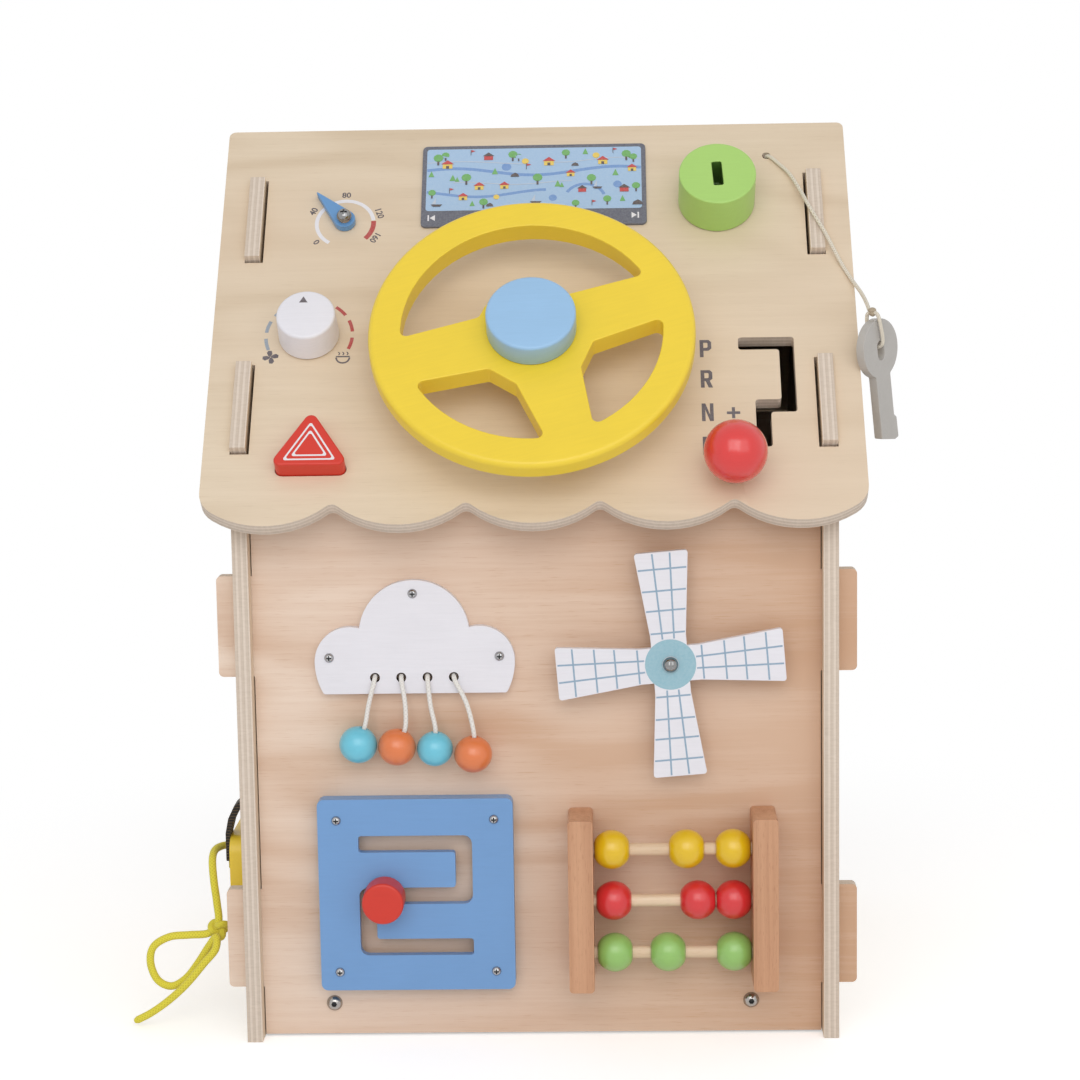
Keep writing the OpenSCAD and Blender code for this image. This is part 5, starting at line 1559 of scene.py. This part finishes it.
# The camera's place in metres and its turn in degrees, and the side of a studio light
CAMERA_PLACE = (0.0405, -1.4712, 0.4518)
CAMERA_PITCH, CAMERA_YAW, CAMERA_ROLL = 8.08, -1.62, -0.94
LIGHT_SIZE = 1.5
# The floor turns plain white between these distances from its middle
WHITE_FROM, WHITE_TO = 0.3, 0.6


class CameraOperator(bpy.types.Operator):
    """The camera, in front of the board and a little above its middle"""
    bl_idname = "busy_board.camera"
    bl_label = "Camera"

    def execute(self, context):
        pitch, yaw, roll = map(radians, (CAMERA_PITCH, CAMERA_YAW, CAMERA_ROLL))
        ahead = Vector((sin(yaw) * cos(pitch), cos(yaw) * cos(pitch), -sin(pitch)))
        right = Vector((cos(yaw), -sin(yaw), 0))
        up = right.cross(ahead)
        x = cos(roll) * right + sin(roll) * up
        y = -sin(roll) * right + cos(roll) * up
        lens = bpy.data.cameras.new("camera")
        lens.lens = context.scene.board_studio.focal
        lens.sensor_width = 36
        lens.sensor_fit = "HORIZONTAL"
        lens.clip_end = 20
        camera = bpy.data.objects.new("camera", lens)
        bpy.context.scene.collection.objects.link(camera)
        turn = Matrix((x, y, -ahead)).transposed().to_4x4()
        camera.matrix_world = Matrix.Translation(CAMERA_PLACE) @ turn
        context.scene.camera = camera
        return {"FINISHED"}


def area_light(name, place, aim, power):
    """A square soft light at a place, turned to what it aims at; its power is in watts."""
    light = bpy.data.lights.new(name, "AREA")
    light.size = LIGHT_SIZE
    light.energy = power
    obj = bpy.data.objects.new(name, light)
    bpy.context.scene.collection.objects.link(obj)
    way = (Vector(aim) - Vector(place)).normalized()
    obj.matrix_world = Matrix.Translation(place) @ way.to_track_quat("-Z", "Y").to_matrix().to_4x4()


def plainly_seen(tree):
    """1 for the rays that look straight at a surface, or at its mirror image or through glass."""
    rays = tree.nodes.new("ShaderNodeLightPath").outputs
    mirrored = maths(tree, "MAXIMUM", rays["Is Glossy Ray"], rays["Is Transmission Ray"])
    return maths(tree, "MAXIMUM", rays["Is Camera Ray"], mirrored)


class StudioOperator(bpy.types.Operator):
    """A pale floor that stays white away from the object's shadow, soft lights and a plain room"""
    bl_idname = "busy_board.studio"
    bl_label = "Studio"

    def execute(self, context):
        studio = context.scene.board_studio
        start_clean()
        bpy.ops.mesh.primitive_plane_add(size=8, location=(0, 0, 0))
        floor = bpy.context.object
        floor.name = "studio_floor"
        material, tree, shader = new_material("studio floor", Roughness=0.9)
        shader.inputs["Base Color"].default_value = (0.9, 0.9, 0.9, 1)
        seen = plainly_seen(tree)
        away = wire(tree, "ShaderNodeVectorMath", {0: own_place(tree)}, operation="LENGTH")
        away = wire(tree, "ShaderNodeMapRange", {
            "Value": away.outputs["Value"], "From Min": WHITE_FROM, "From Max": WHITE_TO},
            interpolation_type="SMOOTHSTEP").outputs[0]
        glow = maths(tree, "MULTIPLY", seen, studio.floor_lift)
        lift = wire(tree, "ShaderNodeEmission", {"Strength": glow})
        lit = wire(tree, "ShaderNodeAddShader", {0: shader.outputs[0], 1: lift.outputs[0]})
        white = wire(tree, "ShaderNodeEmission", {"Strength": 1.0})
        mix = wire(tree, "ShaderNodeMixShader", {0: maths(tree, "MULTIPLY", seen, away),
                                                 1: lit.outputs[0], 2: white.outputs[0]})
        tree.links.new(mix.outputs[0], tree.nodes["Material Output"].inputs["Surface"])
        floor.data.materials.append(material)
        area_light("key_light", (-0.2, -2.0, 1.3), (0, 0, 0.25), studio.key_power)
        area_light("fill_light", (0.8, -1.7, 1.1), (0, 0, 0.2), studio.fill_power)
        world = bpy.data.worlds.new("plain room")
        context.scene.world = world
        world.use_nodes = True
        room = world.node_tree
        ground = room.nodes["Background"]
        ground.inputs["Color"].default_value = (1, 1, 1, 1)
        strength = maths(room, "MULTIPLY_ADD", plainly_seen(room), 1 - studio.sky, studio.sky)
        room.links.new(strength, ground.inputs["Strength"])
        context.scene.view_settings.view_transform = "Standard"
        return {"FINISHED"}


# ---- add-on -----------------------------------------------------------------------------------

STEPS = (CameraOperator, CordsOperator, HouseOperator, FittingsOperator, WheelOperator,
         GaugeOperator, ClimateOperator, HazardOperator, ScreenOperator, LockOperator,
         GearOperator, CloudOperator, WindmillOperator, MazeOperator, AbacusOperator,
         ShoeOperator, StudioOperator)


class BusyBoardPanel(bpy.types.Panel):
    """Shows the busy board's settings and a button for each of its steps in the sidebar"""
    bl_idname = "VIEW3D_PT_busy_board"
    bl_label = "Busy Board"
    bl_space_type = "VIEW_3D"
    bl_region_type = "UI"
    bl_category = "Busy Board"

    def draw(self, context):
        scene = context.scene
        for settings in (scene.board_sizes, scene.board_colours, scene.board_studio):
            box = self.layout.box()
            for key in settings.bl_rna.properties.keys():
                if key not in ("rna_type", "name"):
                    box.prop(settings, key)
        for step in STEPS:
            self.layout.operator(step.bl_idname)


CLASSES = (BoardColours, BoardSizes, BoardStudio, *STEPS, BusyBoardPanel)


def register():
    for cls in CLASSES:
        bpy.utils.register_class(cls)
    bpy.types.Scene.board_colours = PointerProperty(type=BoardColours)
    bpy.types.Scene.board_sizes = PointerProperty(type=BoardSizes)
    bpy.types.Scene.board_studio = PointerProperty(type=BoardStudio)


def unregister():
    del bpy.types.Scene.board_studio
    del bpy.types.Scene.board_sizes
    del bpy.types.Scene.board_colours
    for cls in reversed(CLASSES):
        bpy.utils.unregister_class(cls)


def main():
    register()
    for step in STEPS:
        area, name = step.bl_idname.split(".")
        getattr(getattr(bpy.ops, area), name)()
    start_clean()


if __name__ == "__main__":
    main()
